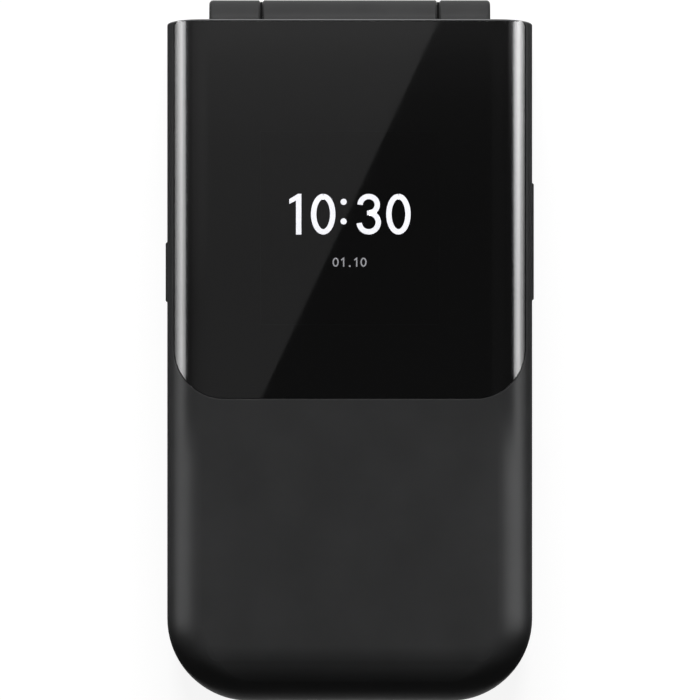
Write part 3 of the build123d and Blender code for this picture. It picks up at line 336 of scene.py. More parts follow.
def window_ends(x):
    """Where the window starts and ends along Y at a distance x from its middle line."""
    ends = []
    for corner, edge, inward in ((NEAR_CORNER, window_low.y, 1), (FAR_CORNER, window_far, -1)):
        past = max(0.0, abs(x) - (window_high.x - corner))
        cut = corner - math.sqrt(max(0.0, corner * corner - past * past))
        ends.append(edge + inward * cut)
    return ends


def window_skin(x, depth):
    """The point of the glass at x and at a depth under its outer face, as x and z."""
    if abs(x) <= roll_x:
        return x, lid_top - depth
    angle = math.asin((abs(x) - roll_x) / ROLL)
    radius = ROLL - depth
    return math.copysign(roll_x + radius * math.sin(angle), x), roll_z + radius * math.cos(angle)


def window_glass():
    """The smoked glass: flat over the lid, and rolled down with the lid's long edges."""
    half = window_high.x
    columns = [half * math.sin(math.pi / 2 * i / COLUMNS) for i in range(-COLUMNS, COLUMNS + 1)]
    columns += [side * (roll_x + k * ROLL_PITCH) for side in (-1, 1) for k in range(ROLL_COLUMNS)]
    columns.sort()
    mesh = bmesh.new()
    layers = []
    for depth in (0.0, GLASS):
        layer = []
        for x in columns:
            near, far = window_ends(x)
            px, pz = window_skin(x, depth)
            layer.append([mesh.verts.new((px, near + (far - near) * j / ROWS, pz)) for j in range(ROWS + 1)])
        layers.append(layer)
    top, under = layers
    last = len(columns) - 1
    for i in range(last):
        for j in range(ROWS):
            mesh.faces.new((top[i][j], top[i + 1][j], top[i + 1][j + 1], top[i][j + 1]))
            mesh.faces.new((under[i][j], under[i][j + 1], under[i + 1][j + 1], under[i + 1][j]))
        mesh.faces.new((top[i][0], under[i][0], under[i + 1][0], top[i + 1][0]))
        mesh.faces.new((top[i][ROWS], top[i + 1][ROWS], under[i + 1][ROWS], under[i][ROWS]))
    for j in range(ROWS):
        mesh.faces.new((top[0][j], top[0][j + 1], under[0][j + 1], under[0][j]))
        mesh.faces.new((top[last][j], under[last][j], under[last][j + 1], top[last][j + 1]))
    bmesh.ops.remove_doubles(mesh, verts=mesh.verts, dist=WELD)
    data = bpy.data.meshes.new("lid_window")
    mesh.to_mesh(data)
    mesh.free()
    smooth(data, 50)
    piece = new_object("lid_window", data, MATERIALS["dark_window"])
    ground_edge(piece, 0.1 * MM)
    place(piece, "lid", "dark_window", ["outer_window"])


window_glass()


# ---------------------------------------------------------------- figures on the display and the keys
def arc(cx, cy, rx, ry, start, end, steps=14):
    """Points of an arc of an ellipse, by angles in degrees."""
    angles = [math.radians(start + (end - start) * i / steps) for i in range(steps + 1)]
    return [(cx + rx * math.cos(a), cy + ry * math.sin(a)) for a in angles]


SHARPEST = 0.5  # a stroke grows no wider than twice its width at a corner


def stroke(mesh, points, width, low, high):
    """A flat line of even width along the points, as a thin solid between two levels."""
    sides = []
    for i, (x, y) in enumerate(points):
        ahead = points[min(i + 1, len(points) - 1)]
        behind = points[max(i - 1, 0)]
        before = Vector((x - behind[0], y - behind[1]))
        after = Vector((ahead[0] - x, ahead[1] - y))
        if before.length == 0:
            before = after
        if after.length == 0:
            after = before
        before.normalize()
        after.normalize()
        along = (before + after).normalized()
        normal = Vector((-along.y, along.x))
        reach = width / 2 / max(SHARPEST, normal.dot(Vector((-before.y, before.x))))
        sides.append([(x + s * normal.x * reach, y + s * normal.y * reach) for s in (1, -1)])
    rings = [
        [mesh.verts.new((px, py, z)) for (px, py), z in ((a, high), (b, high), (b, low), (a, low))]
        for a, b in sides
    ]
    for ring, following in zip(rings, rings[1:]):
        for k in range(4):
            mesh.faces.new((ring[k], ring[(k + 1) % 4], following[(k + 1) % 4], following[k]))
    mesh.faces.new(reversed(rings[0]))
    mesh.faces.new(rings[-1])


def plate(mesh, points, low, high):
    """A thin solid with the outline that the points go round."""
    upper, lower = ([mesh.verts.new((x, y, z)) for x, y in points] for z in (high, low))
    mesh.faces.new(upper)
    mesh.faces.new(reversed(lower))
    for k in range(len(points)):
        n = (k + 1) % len(points)
        mesh.faces.new((upper[k], lower[k], lower[n], upper[n]))


def flat_piece(name, material, draw, body, slot, replaced=()):
    """A thin piece from a function that draws into its mesh."""
    mesh = bmesh.new()
    draw(mesh)
    bmesh.ops.recalc_face_normals(mesh, faces=mesh.faces)
    data = bpy.data.meshes.new(name)
    mesh.to_mesh(data)
    mesh.free()
    piece = new_object(name, data, material)
    place(piece, body, slot, replaced)
    return piece


display_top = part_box("outer_display")[1].z
DISPLAY_INK = 0.02 * MM
WHITE_PIXELS = lit("lit_pixels", (1.0, 1.0, 1.0), 11.0)

# The clock's figures and the date line, in millimetres: along X from the lid's middle line, and along Y.
CLOCK_BASE = 17.26
CLOCK_HEIGHT = 6.06
CLOCK_STROKE = 0.80


def drawn(mesh, points, x, y, width=None):
    """Points in millimetres from x and y on the outer display, as a stroke of a width or a filled outline."""
    line = [((x + px) * MM, (y + py) * MM) for px, py in points]
    if width:
        stroke(mesh, line, width * MM, display_top, display_top + DISPLAY_INK)
    else:
        plate(mesh, line, display_top, display_top + DISPLAY_INK)


def clock_figures(mesh):
    """Half past ten in plain figures."""
    h, w, base = CLOCK_HEIGHT, CLOCK_STROKE, CLOCK_BASE
    top, waist, foot = h - w / 2, 3.22, w / 2
    one = [(0.4, 0), (0.4, h), (-0.1, h), (-1.4, h - 0.8), (-1.4, h - 1.5), (-0.4, h - 1.0), (-0.4, 0)]
    drawn(mesh, one, -7.6, base)
    for y in (1.96, 4.87):
        drawn(mesh, arc(0, y, 0.46, 0.46, 0, 345, 23), -0.91, base)
    upper, lower, three = (top - waist) / 2, (waist - foot) / 2, 2.83
    drawn(mesh, arc(0, waist + upper, 1.28, upper, 180, -86, 24), three, base, w)
    drawn(mesh, arc(0, foot + lower, 1.42, lower, 86, -176, 24), three, base, w)
    drawn(mesh, [(-0.25, waist), (0.5, waist)], three, base, 0.68)
    zero = arc(0, h / 2, 1.42, top - h / 2, 90, 450, 48)
    for x in (-3.95, 7.25):
        drawn(mesh, zero, x, base, w)


flat_piece("clock_figures", WHITE_PIXELS, clock_figures, "lid", "display")

DATE_PIXELS = lit("dim_pixels", (0.82, 0.82, 0.82), 4.7)
DATE_BASE = 12.56
DATE_HEIGHT = 1.16  # between the middles of the top and bottom strokes
DATE_STROKE = 0.19


def date_line(mesh):
    """A plain date in figures, the first of October, with a dot between the day and the month."""
    middle = DATE_HEIGHT / 2
    zero = arc(0, middle, 0.36, middle, 90, 450, 28)
    one = [(-0.32, DATE_HEIGHT - 0.28), (0.04, DATE_HEIGHT), (0.04, -0.1)]
    for x, figure in ((-2.1, zero), (-0.95, one), (1.0, one), (2.05, zero)):
        drawn(mesh, figure, x, DATE_BASE, DATE_STROKE)
    drawn(mesh, arc(0, 0, 0.14, 0.14, 0, 330, 11), 0.0, DATE_BASE)


flat_piece("date_line", DATE_PIXELS, date_line, "lid", "display")


LEGEND = lit("legend_ink", (0.85, 0.85, 0.85), 0.15)
LEGEND_DEPTH = 0.015 * MM
CAPITAL = 0.73  # a capital's height in the plain font, as a share of its size


def lettering(name, text, x, y, height, level, body):
    """A legend of plain figures or letters, centred on x and y, as a thin solid on a key."""
    data = bpy.data.curves.new(name, "FONT")
    data.body = text
    data.align_x = "CENTER"
    data.align_y = "CENTER"
    data.size = height / CAPITAL
    data.extrude = LEGEND_DEPTH / 2
    data.resolution_u = 6
    flat = bpy.data.objects.new(name + "_outline", data)
    bpy.context.scene.collection.objects.link(flat)
    mesh = bpy.data.meshes.new_from_object(flat.evaluated_get(bpy.context.evaluated_depsgraph_get()))
    bpy.data.objects.remove(flat)
    xs = [v.co.x for v in mesh.vertices]
    ys = [v.co.y for v in mesh.vertices]
    shift = Vector((x - (min(xs) + max(xs)) / 2, y - (min(ys) + max(ys)) / 2, level + LEGEND_DEPTH / 2))
    for vertex in mesh.vertices:
        vertex.co += shift
    mesh.name = name
    mesh.materials.clear()
    place(new_object(name, mesh, LEGEND), body, "key_plastic")


KEY_LEGENDS = {
    "key_1": ("1", ""),
    "key_2": ("2", "abc"),
    "key_3": ("3", "def"),
    "key_4": ("4", "ghi"),
    "key_5": ("5", "jkl"),
    "key_6": ("6", "mno"),
    "key_7": ("7", "pqrs"),
    "key_8": ("8", "tuv"),
    "key_9": ("9", "wxyz"),
    "key_star": ("*", ""),
    "key_0": ("0", "+"),
    "key_hash": ("#", ""),
}
FIGURE_HEIGHT = 4.2 * MM
LETTER_HEIGHT = 1.7 * MM
ASIDE = 2.6 * MM  # a figure stands to the left of its key's middle, and the letters to the right
for key, (figure, letters) in KEY_LEGENDS.items():
    x, y = middle_of(key)
    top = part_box(key)[1].z
    figure_x = x - ASIDE if letters else x
    lettering(key + "_figure", figure, figure_x, y, FIGURE_HEIGHT, top, key)
    if letters:
        lettering(key + "_letters", letters, x + ASIDE, y, LETTER_HEIGHT, top, key)


def handset(mesh, x, y, turn, level):
    """A telephone handset's outline, turned by an angle."""
    a = math.radians(turn)
    points = arc(0, -1.6, 2.3, 2.3, 40, 140, 16)
    grip, cup = 0.62 * MM, 1.1 * MM

    def put(px, py):
        return (
            x + (px * math.cos(a) - py * math.sin(a)) * MM,
            y + (px * math.sin(a) + py * math.cos(a)) * MM,
        )

    stroke(mesh, [put(px, py) for px, py in points], grip, level, level + LEGEND_DEPTH)
    for px, py in (points[0], points[-1]):
        side = math.copysign(0.3, px)
        ends = [put(px - side, py - 0.1), put(px + side * 0.9, py - 0.62)]
        stroke(mesh, ends, cup, level, level + LEGEND_DEPTH)


def soft_bar(mesh, x, y, level):
    """The short bar on a soft key."""
    half, width = 1.4 * MM, 0.5 * MM
    stroke(mesh, [(x - half, y), (x + half, y)], width, level, level + LEGEND_DEPTH)


CALL_INK = lit("call_ink", (0.05, 0.55, 0.12), 0.2)
END_INK = lit("end_ink", (0.62, 0.04, 0.03), 0.2)
for key, ink, turn in (("call_key", CALL_INK, 45), ("end_key", END_INK, 0)):
    x, y = middle_of(key)
    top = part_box(key)[1].z
    flat_piece(key + "_symbol", ink, lambda mesh: handset(mesh, x, y, turn, top), key, "key_plastic")
for key in ("soft_key_left", "soft_key_right"):
    x, y = middle_of(key)
    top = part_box(key)[1].z
    flat_piece(key + "_symbol", LEGEND, lambda mesh: soft_bar(mesh, x, y, top), key, "key_plastic")


NAV_MARKS = lit("nav_marks", (0.7, 0.7, 0.7), 0.1)
ring_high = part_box("nav_ring")[1]


def direction_marks(mesh):
    """A small arrowhead on each side of the ring, pointing away from its middle."""
    cx, cy = middle_of("nav_ring")
    from_rim, length, half = 3.0 * MM, 0.75 * MM, 0.7 * MM
    for dx, dy in ((0, 1), (0, -1), (1, 0), (-1, 0)):
        start = (ring_high.y - cy if dy else ring_high.x - cx) - from_rim
        points = [(start + length, 0), (start, half), (start, -half)]
        pointed = [(cx + dx * a - dy * b, cy + dy * a + dx * b) for a, b in points]
        plate(mesh, pointed, ring_high.z, ring_high.z + LEGEND_DEPTH)


flat_piece("nav_marks", NAV_MARKS, direction_marks, "nav_ring", "satin_black_plastic")


# ---------------------------------------------------------------- round parts
def turned(mesh, profile, steps, spot):
    """Revolves a closed profile of (radius, height) points; spot gives the place of each turned point."""
    loops = []
    for radius, height in profile:
        circle = arc(0, 0, radius, radius, 0, 360 - 360 / steps, steps - 1)
        loops.append([mesh.verts.new(spot(a, b, height)) for a, b in circle])
    for loop, following in zip(loops, loops[1:] + loops[:1]):
        for k in range(steps):
            n = (k + 1) % steps
            mesh.faces.new((loop[k], loop[n], following[n], following[k]))


# ---------------------------------------------------------------- the rear camera behind its window
CAMERA_CORNER = 3.0 * MM
PANE = 0.7 * MM  # the clear pane's thickness
BACKING_INSET = 0.1 * MM
BACKING_FACE, BACKING_BACK = 0.1 * MM, 0.02 * MM  # how far outward of the CAD window's inner face they are
LENS_FOOT = 0.12 * MM  # the same for the lens and the flash, which stand on the backing's outer face
CLEAR_GLASS = dark_glass("camera_glass", (0.86, 0.87, 0.9))
LENS_GLASS = moulded("coated_lens", (0.006, 0.006, 0.018), 0.05, depth=0.0000005, specular=0.8)
BACKING = moulded("printed_backing", (0.008, 0.008, 0.009), 0.45, depth=0.000002, specular=0.3)
FLASH_LENS = moulded("flash_lens", (0.62, 0.58, 0.42), 0.25, depth=0.000002)
LATHE_STEPS = 48
pane_low, pane_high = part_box("camera_window")
LENS_SPOT = middle_of("camera_module")
FLASH_SPOT = middle_of("flash_lamp")


def pane_outline(inset):
    """The rear window's outline, drawn in by the inset."""
    r = CAMERA_CORNER - inset
    points = []
    for quarter, (sx, sy) in enumerate(((1, 1), (-1, 1), (-1, -1), (1, -1))):
        cx = (pane_high.x if sx > 0 else pane_low.x) - sx * CAMERA_CORNER
        cy = (pane_high.y if sy > 0 else pane_low.y) - sy * CAMERA_CORNER
        points += arc(cx, cy, r, r, 90 * quarter, 90 * quarter + 90, 10)
    return points


def pane(mesh):
    plate(mesh, pane_outline(0), pane_low.z, pane_low.z + PANE)


def backing(mesh):
    plate(mesh, pane_outline(BACKING_INSET), pane_high.z - BACKING_FACE, pane_high.z - BACKING_BACK)


def lathe(spot, profile):
    """A draw function for a turned part that stands on the backing, with heights in millimetres from it."""
    foot = pane_high.z - LENS_FOOT
    points = [(radius * MM, foot - height * MM) for radius, height in profile]
    return lambda mesh: turned(mesh, points, LATHE_STEPS, lambda a, b, z: (spot[0] + a, spot[1] + b, z))


lens_ring = [(3.3, 0), (3.3, 0.16), (3.22, 0.22), (2.75, 0.22), (2.7, 0.12), (2.2, 0.08), (2.2, 0)]
lens_barrel = [(2.18, 0), (2.18, 0.07), (1.9, 0.07), (1.85, 0.05), (1.6, 0.05), (1.55, 0.03), (1.2, 0.03)]
lens_barrel.append((1.2, 0))
lens_dome = [(1.18, 0), (1.15, 0.05), (0.95, 0.1), (0.65, 0.135), (0.3, 0.15), (0.01, 0.153), (0.01, 0)]
flash_ridges = [(1.5, 0), (1.5, 0.15)]
for ridge in (1.2, 0.9, 0.6, 0.3):
    flash_ridges += [(ridge + 0.04, 0.06), (ridge, 0.15)]
flash_ridges += [(0.01, 0.1), (0.01, 0)]

rear_pane = flat_piece("rear_pane", CLEAR_GLASS, pane, "base", "dark_window", ["camera_window"])
ground_edge(rear_pane, 0.12 * MM)
flat_piece("rear_backing", BACKING, backing, "base", "inner_plastic")
for name, material, spot, profile, slot in (
    ("lens_ring", MATERIALS["bare_metal"], LENS_SPOT, lens_ring, "bare_metal"),
    ("lens_barrel", BACKING, LENS_SPOT, lens_barrel, "inner_plastic"),
    ("lens_dome", LENS_GLASS, LENS_SPOT, lens_dome, "dark_window"),
    ("flash_ridges", FLASH_LENS, FLASH_SPOT, flash_ridges, "film"),
):
    smooth(flat_piece(name, material, lathe(spot, profile), "base", slot).data, 30)


# ---------------------------------------------------------------- near-black rings in the hinge's two gaps: the dark pin there, and painted shade of the deep slots
HINGE_AXIS = (48.65 * MM, 11.1 * MM)  # along Y and Z
BARREL_END = 13.0 * MM  # along X, where the lid's barrel ends
KNUCKLE_START = 13.35 * MM
RING_RADIUS = 3.3 * MM
RING_DEPTH = 0.5 * MM
RING_PROUD = 0.07 * MM
RING_CLEAR = 0.015 * MM
RING_STEPS, RIM_STEPS = 72, 6


def hinge_rings(mesh):
    """A ring with a rounded rim round each knuckle's raised inner face, filling the gap beside the barrel.
    Its near-black colour stands for the dark pin there and is painted shade of the deep slot.
    """
    near, far = BARREL_END + RING_CLEAR, KNUCKLE_START - RING_CLEAR
    inner = RING_RADIUS - RING_DEPTH
    rim = []
    for i in range(RIM_STEPS + 1):
        part = i / RIM_STEPS
        rim.append((RING_RADIUS + RING_PROUD * math.sin(math.pi * part), near + (far - near) * part))
    for side in (-1, 1):
        profile = rim + [(inner, far), (inner, near)]
        turned(mesh, profile, RING_STEPS, lambda y, z, x: (side * x, HINGE_AXIS[0] + y, HINGE_AXIS[1] + z))


# Near-black: the dark pin's own colour, darkened further as painted shade of the deep hinge slot.
DARK_PIN_AND_SHADE = moulded("dark_pin_and_shade", (0.004, 0.004, 0.004), 0.8, specular=0.05)
smooth(flat_piece("hinge_rings", DARK_PIN_AND_SHADE, hinge_rings, "base", "rubber").data, 40)


# ---------------------------------------------------------------- floor, light and camera
WHITE = (1.0, 1.0, 1.0, 1.0)
SKY_LIGHT = 0.15  # what the sky lights things with; it is plain white where it is seen
PAPER_COLOUR = (0.16, 0.16, 0.16, 1)
PAPER_GLOW = 0.89
PAPER_LEVEL = -0.05 * MM
PAPER_HALF = 4.0


def seen_directly(tree):
    """The tree's light path, and 1 for camera, glossy and transmission rays or 0 for rays that only light."""
    path = tree.nodes.new("ShaderNodeLightPath")
    total = path.outputs["Is Camera Ray"]
    for output in ("Is Glossy Ray", "Is Transmission Ray"):
        more = tree.nodes.new("ShaderNodeMath")
        more.operation = "MAXIMUM"
        tree.links.new(total, more.inputs[0])
        tree.links.new(path.outputs[output], more.inputs[1])
        total = more.outputs[0]
    return path, total


world = bpy.data.worlds.new("studio")
bpy.context.scene.world = world
world.use_nodes = True
tree = world.node_tree
tree.nodes.clear()
_, seen = seen_directly(tree)
sky = tree.nodes.new("ShaderNodeBackground")
sky.inputs["Strength"].default_value = SKY_LIGHT
sky.inputs["Color"].default_value = WHITE
backdrop = tree.nodes.new("ShaderNodeBackground")
backdrop.inputs["Color"].default_value = WHITE
backdrop.inputs["Strength"].default_value = 1.0
choose = tree.nodes.new("ShaderNodeMixShader")
surface = tree.nodes.new("ShaderNodeOutputWorld")
tree.links.new(seen, choose.inputs["Fac"])
tree.links.new(sky.outputs["Background"], choose.inputs[1])
tree.links.new(backdrop.outputs["Background"], choose.inputs[2])
tree.links.new(choose.outputs["Shader"], surface.inputs["Surface"])


def stage_mesh(name, corners, faces, material):
    data = bpy.data.meshes.new(name)
    data.from_pydata(corners, [], faces)
    piece = new_object(name, data, material)
    return piece


# The floor is pale paper. Seen from below it is clear, so that the rear of the phone can be looked at.
paper = bpy.data.materials.new("paper")
paper.use_nodes = True
tree = paper.node_tree
tree.nodes.clear()
path, seen = seen_directly(tree)
matt = tree.nodes.new("ShaderNodeBsdfDiffuse")
matt.inputs["Color"].default_value = PAPER_COLOUR
glow = tree.nodes.new("ShaderNodeEmission")
glow.inputs["Color"].default_value = WHITE
glow.inputs["Strength"].default_value = PAPER_GLOW
lit_paper = tree.nodes.new("ShaderNodeAddShader")
tree.links.new(matt.outputs["BSDF"], lit_paper.inputs[0])
tree.links.new(glow.outputs["Emission"], lit_paper.inputs[1])
paper_mix = tree.nodes.new("ShaderNodeMixShader")
tree.links.new(seen, paper_mix.inputs["Fac"])
tree.links.new(matt.outputs["BSDF"], paper_mix.inputs[1])
tree.links.new(lit_paper.outputs["Shader"], paper_mix.inputs[2])
geometry = tree.nodes.new("ShaderNodeNewGeometry")
passed = tree.nodes.new("ShaderNodeMath")
passed.operation = "ADD"
passed.use_clamp = True
tree.links.new(geometry.outputs["Backfacing"], passed.inputs[0])
tree.links.new(path.outputs["Transparent Depth"], passed.inputs[1])
clear = tree.nodes.new("ShaderNodeBsdfTransparent")
below = tree.nodes.new("ShaderNodeMixShader")
surface = tree.nodes.new("ShaderNodeOutputMaterial")
tree.links.new(passed.outputs[0], below.inputs["Fac"])
tree.links.new(paper_mix.outputs["Shader"], below.inputs[1])
tree.links.new(clear.outputs["BSDF"], below.inputs[2])
tree.links.new(below.outputs["Shader"], surface.inputs["Surface"])
around = ((-1, -1), (1, -1), (1, 1), (-1, 1))
paper_corners = [(x * PAPER_HALF, y * PAPER_HALF, PAPER_LEVEL) for x, y in around]
stage_mesh("floor", paper_corners, [(0, 1, 2, 3)], paper)


def lamp(name, spot, aim, width, height, level_at_aim):
    """A soft rectangular lamp that lights a card facing it at the aim to a given level."""
    data = bpy.data.lights.new(name, "AREA")
    data.shape = "RECTANGLE"
    data.size = width
    data.size_y = height
    away = Vector(spot) - Vector(aim)
    data.energy = level_at_aim * math.pi**2 * away.length_squared
    piece = bpy.data.objects.new(name, data)
    piece.location = spot
    piece.rotation_mode = "QUATERNION"
    piece.rotation_quaternion = away.to_track_quat("Z", "Y")
    bpy.context.scene.collection.objects.link(piece)
    piece.visible_glossy = False


PHONE = (0, 0, 0)
lamp("key_lamp", spot=(0, 1.81, 0.845), aim=PHONE, width=1.2, height=0.5, level_at_aim=2.0)
lamp("under_lamp", spot=(0, 0, -2.0), aim=PHONE, width=1.6, height=1.6, level_at_aim=0.5)


# Reflectors and dark flags, which show only in gloss and through the window.
REACH_END = 1.4  # rays over the reach by this factor don't see a reflector at all


def reflector_material(name, reach=None):
    """A surface that glows by the radiance at each of its points. Rays over the reach pass through it."""
    material = bpy.data.materials.new(name)
    material.use_nodes = True
    tree = material.node_tree
    tree.nodes.clear()
    radiance = tree.nodes.new("ShaderNodeAttribute")
    radiance.attribute_name = "radiance"
    shine = tree.nodes.new("ShaderNodeEmission")
    tree.links.new(radiance.outputs["Fac"], shine.inputs["Strength"])
    shown = shine.outputs["Emission"]
    if reach:
        path = tree.nodes.new("ShaderNodeLightPath")
        clear = tree.nodes.new("ShaderNodeBsdfTransparent")
        mix = tree.nodes.new("ShaderNodeMixShader")
        over = ramped(tree, path.outputs["Ray Length"], reach, REACH_END * reach)
        tree.links.new(over, mix.inputs["Fac"])
        tree.links.new(shown, mix.inputs[1])
        tree.links.new(clear.outputs["BSDF"], mix.inputs[2])
        shown = mix.outputs["Shader"]
    out = tree.nodes.new("ShaderNodeOutputMaterial")
    tree.links.new(shown, out.inputs["Surface"])
    return material


REFLECTOR = reflector_material("reflector")
SHORT_REFLECTOR = reflector_material("short_reflector", 10 * MM)


def reflector(name, rows, material=REFLECTOR):
    """A sheet through rows of points, each of them a place and its radiance."""
    width = len(rows[0])
    corners = [spot for row in rows for spot, _ in row]
    values = [radiance for row in rows for _, radiance in row]
    faces = [
        (r * width + c, r * width + c + 1, (r + 1) * width + c + 1, (r + 1) * width + c)
        for r in range(len(rows) - 1)
        for c in range(width - 1)
    ]
    piece = stage_mesh(name, corners, faces, material)
    attribute = piece.data.attributes.new("radiance", "FLOAT", "POINT")
    attribute.data.foreach_set("value", values)
    piece.visible_camera = False
    piece.visible_diffuse = False
    piece.visible_shadow = False
    piece.visible_volume_scatter = False


def between(stops, at):
    """The values of a list of stops at a place between two of them."""
    if at <= stops[0][0]:
        return stops[0][1:]
    for (start, *before), (end, *after) in zip(stops, stops[1:]):
        if at <= end:
            t = (at - start) / (end - start)
            return [a + (b - a) * t for a, b in zip(before, after)]
    return stops[-1][1:]


# What stands round the lid's two rolled edges: degrees round the edge's centre from straight above, then the
# radiance there beside the hinge, beside the window's near end and beside the matte half of the lid.
AROUND = {
    "left": [
        (0, 0.58, 0.33, 1.3), (12, 0.56, 0.31, 1.4), (28, 0.50, 0.25, 2.0), (38, 0.36, 0.18, 4.2),
        (50, 0.52, 0.18, 8.4), (54, 0.8, 0.6, 8.4), (56.5, 5.6, 3.8, 8.2), (61, 8.6, 6.5, 7.8),
        (66, 10.8, 8.1, 7.7), (70, 13.6, 10.3, 8.8), (74, 13.6, 10.4, 8.8), (81, 10.8, 8.4, 7.4),
        (86, 8.4, 6.5, 5.9), (95, 3.9, 3.0, 3.0), (104, 1.5, 1.2, 1.0), (110, 0.4, 0.3, 0.3),
    ],
    "right": [
        (0, 0.20, 0.10, 1.3), (14, 0.20, 0.10, 2.6), (26, 0.20, 0.09, 4.8), (36, 0.20, 0.09, 8.2),
        (39, 0.6, 0.09, 9.4), (47, 0.8, 0.09, 10.8), (50, 1.0, 0.09, 11.0), (53, 3.0, 0.2, 11.2),
        (56, 6.6, 2.0, 11.0), (59, 9.4, 6.0, 10.6), (63, 12.4, 8.6, 10.2), (70, 16.4, 11.8, 10.4),
        (76, 17.6, 12.0, 10.8), (80, 15.2, 9.6, 9.0), (84, 12.0, 6.6, 6.5), (91, 7.4, 4.3, 4.3),
        (97, 4.6, 2.2, 2.2), (103, 2.3, 0.8, 0.8), (110, 0.4, 0.2, 0.2),
    ],
}
TENT = 0.12  # from the lid's rolled edges to the dim walls and roof that stand round the phone
STRIP = 0.006  # from each rolled edge to its bright strip, which only that edge can see
STRIP_START = 14  # degrees
LAST_DEGREE = 110
WALL_TOP, WALL_DIM = 2.0, 0.5  # the walls' highest radiance above the strips' start, and below it
INNER_STRIP = 52  # degrees; up to here the right edge brightens only close to the hinge
INNER_POWER = 4
HINGE_END, WINDOW_FAR, WINDOW_NEAR, MATTE_START = 0.0478, 0.0075, -0.0095, -0.016  # along Y
WALL_FADE = (-0.068, -0.046)  # along Y, from black to the full radiance
STRIP_FADE = (-0.0445, -0.0405)
MIDDLE_ROWS = [MATTE_START, WINDOW_NEAR, WINDOW_FAR, 0.018, 0.028, 0.038, HINGE_END]
WALL_ROWS = [-0.16, *WALL_FADE, *MIDDLE_ROWS, 0.11]
STRIP_ROWS = [STRIP_FADE[0], -0.0425, STRIP_FADE[1], *MIDDLE_ROWS, 0.054]
BLACK = 0.03


def share(at, start, end):
    """How far a place lies from the start to the end, from 0 to 1."""
    return min(1.0, max(0.0, (at - start) / (end - start)))


def radiance_at(side, degrees, y):
    """The radiance that belongs beside a rolled edge, without the fade at its near end."""
    hinge, window, matte = between(AROUND[side], degrees)
    toward_hinge = share(y, WINDOW_FAR, HINGE_END)
    if side == "right" and degrees < INNER_STRIP:
        toward_hinge **= INNER_POWER
    return window + (hinge - window) * toward_hinge + (matte - window) * share(y, WINDOW_NEAR, MATTE_START)


def on_wall(degrees):
    """A point of a wall, as x and z, and the most that may shine there."""
    turn = math.radians(degrees)
    limit = WALL_TOP if degrees <= STRIP_START else WALL_DIM
    return roll_x + TENT * math.sin(turn), roll_z + TENT * math.cos(turn), limit


def on_strip(degrees):
    """The same for a strip, at the point that the edge mirrors upward from these degrees."""
    turn = math.radians(degrees)
    x = roll_x + ROLL * math.sin(turn / 2) + STRIP * math.sin(turn)
    z = roll_z + ROLL * math.cos(turn / 2) + STRIP * math.cos(turn)
    return x, z, math.inf


def sheet(name, side, start, rows, fade, point, material):
    """A reflector along Y, curved round a rolled edge from a number of degrees on."""
    sign = -1 if side == "left" else 1
    grid = []
    for y in rows:
        row = []
        for degrees in range(start, LAST_DEGREE + 1):
            x, z, limit = point(degrees)
            radiance = BLACK + share(y, *fade) * min(limit, radiance_at(side, degrees, y))
            row.append(((sign * x, y, z), radiance))
        grid.append(row)
    reflector(name + "_" + side, grid, material)


for side in AROUND:
    sheet("wall", side, 0, WALL_ROWS, WALL_FADE, on_wall, REFLECTOR)
    sheet("strip", side, STRIP_START, STRIP_ROWS, STRIP_FADE, on_strip, SHORT_REFLECTOR)


# The roof over the flat window: a grey card and a black one, which meet along a slanting line.
CAMERA_SPOT = (0.04 * MM, 0.07 * MM, 3.0)
roof_level = roll_z + TENT
# From a place in the window to the place on the roof that the camera sees mirrored there.
spread = 1 + (roof_level - lid_top) / (CAMERA_SPOT[2] - lid_top)
MEETING = ((14.66 * MM, 52.1 * MM), (-14.46 * MM, -9.9 * MM))  # two places on the line in the window
# The place along Y as the window shows it, then the radiance of the grey card and of the black one.
ROOF = [
    (-0.160, 0.02, 0.02), (-0.060, 0.10, 0.10), (-0.050, 1.20, 1.20), (MATTE_START, 1.20, 1.20),
    (WINDOW_NEAR, 0.38, 0.10), (0.015, 0.38, 0.10), (0.022, 0.40, 0.10), (0.030, 0.42, 0.11),
    (0.037, 0.48, 0.127), (0.043, 0.54, 0.17), (0.048, 0.65, 0.24), (0.060, 0.70, 0.30),
]


def meeting_x(y):
    (x1, y1), (x2, y2) = MEETING
    return (x1 + (x2 - x1) * (y - y1) / (y2 - y1)) * spread


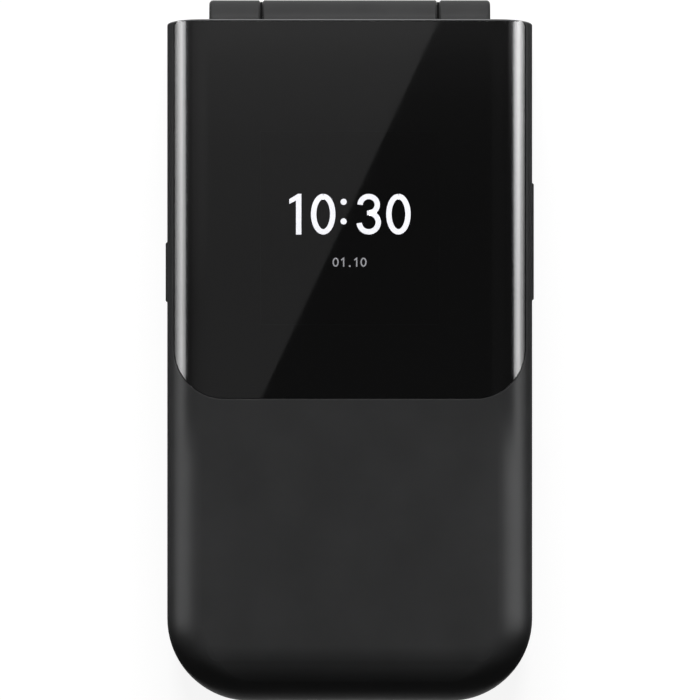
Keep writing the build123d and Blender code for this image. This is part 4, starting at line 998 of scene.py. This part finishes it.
def roof():
    left, right = [], []
    for y, grey, black in ROOF:
        x = min(roll_x, max(-roll_x, meeting_x(y)))
        far_y = y * spread
        left.append([((-roll_x, far_y, roof_level), grey), ((x, far_y, roof_level), grey)])
        right.append([((x, far_y, roof_level), black), ((roll_x, far_y, roof_level), black)])
    reflector("roof_grey", left)
    reflector("roof_black", right)


roof()

CARD_SIDES = (-0.15, 0.15)


def upright(name, y, low, high, radiance):
    reflector(name, [[((x, y, z), radiance) for x in CARD_SIDES] for z in (low, high)])


def overhead(name, near, far, radiance):
    reflector(name, [[((x, y, roof_level), radiance) for x in CARD_SIDES] for y in (near, far)])


overhead("far_roof", near=0.102, far=0.195, radiance=6.0)
upright("far_card", 0.15, low=-0.02, high=0.10, radiance=1.0)
upright("near_flag", -0.16, low=0.0, high=0.14, radiance=BLACK)

# Flags on the floor all round the phone, so that it stands out dark against the pale floor: where they end
# on the left, right, near and far side, and their radiance.
FLAG_LEVEL = 0.03 * MM
FLAGS = {
    "left": (-0.150, -0.0285, -0.20, 0.13, BLACK),
    "right": (0.0285, 0.150, -0.20, 0.13, BLACK),
    "near": (-0.0285, 0.0285, -0.20, -0.0535, 0.7),
    "far": (-0.0285, 0.0285, 0.0535, 0.13, 0.5),
}
for side, (left, right, near, far, radiance) in FLAGS.items():
    rows = [[((x, y, FLAG_LEVEL), radiance) for x in (left, right)] for y in (near, far)]
    reflector("floor_flag_" + side, rows)

OUTLINE_LEVEL = 13.5 * MM  # where the phone's outline is, seen from the camera
SEEN_WIDTH = 104.356 * MM  # the picture's width at that level
camera = bpy.data.objects.new("camera", bpy.data.cameras.new("camera"))
bpy.context.scene.collection.objects.link(camera)
bpy.context.scene.camera = camera
camera.data.sensor_width = 36.0
camera.data.lens = camera.data.sensor_width * (CAMERA_SPOT[2] - OUTLINE_LEVEL) / SEEN_WIDTH
camera.data.clip_start = 0.1
camera.data.clip_end = 100.0
camera.location = CAMERA_SPOT
camera.rotation_euler = (0.0, 0.0, 0.0)

bpy.context.scene.view_settings.view_transform = "Standard"
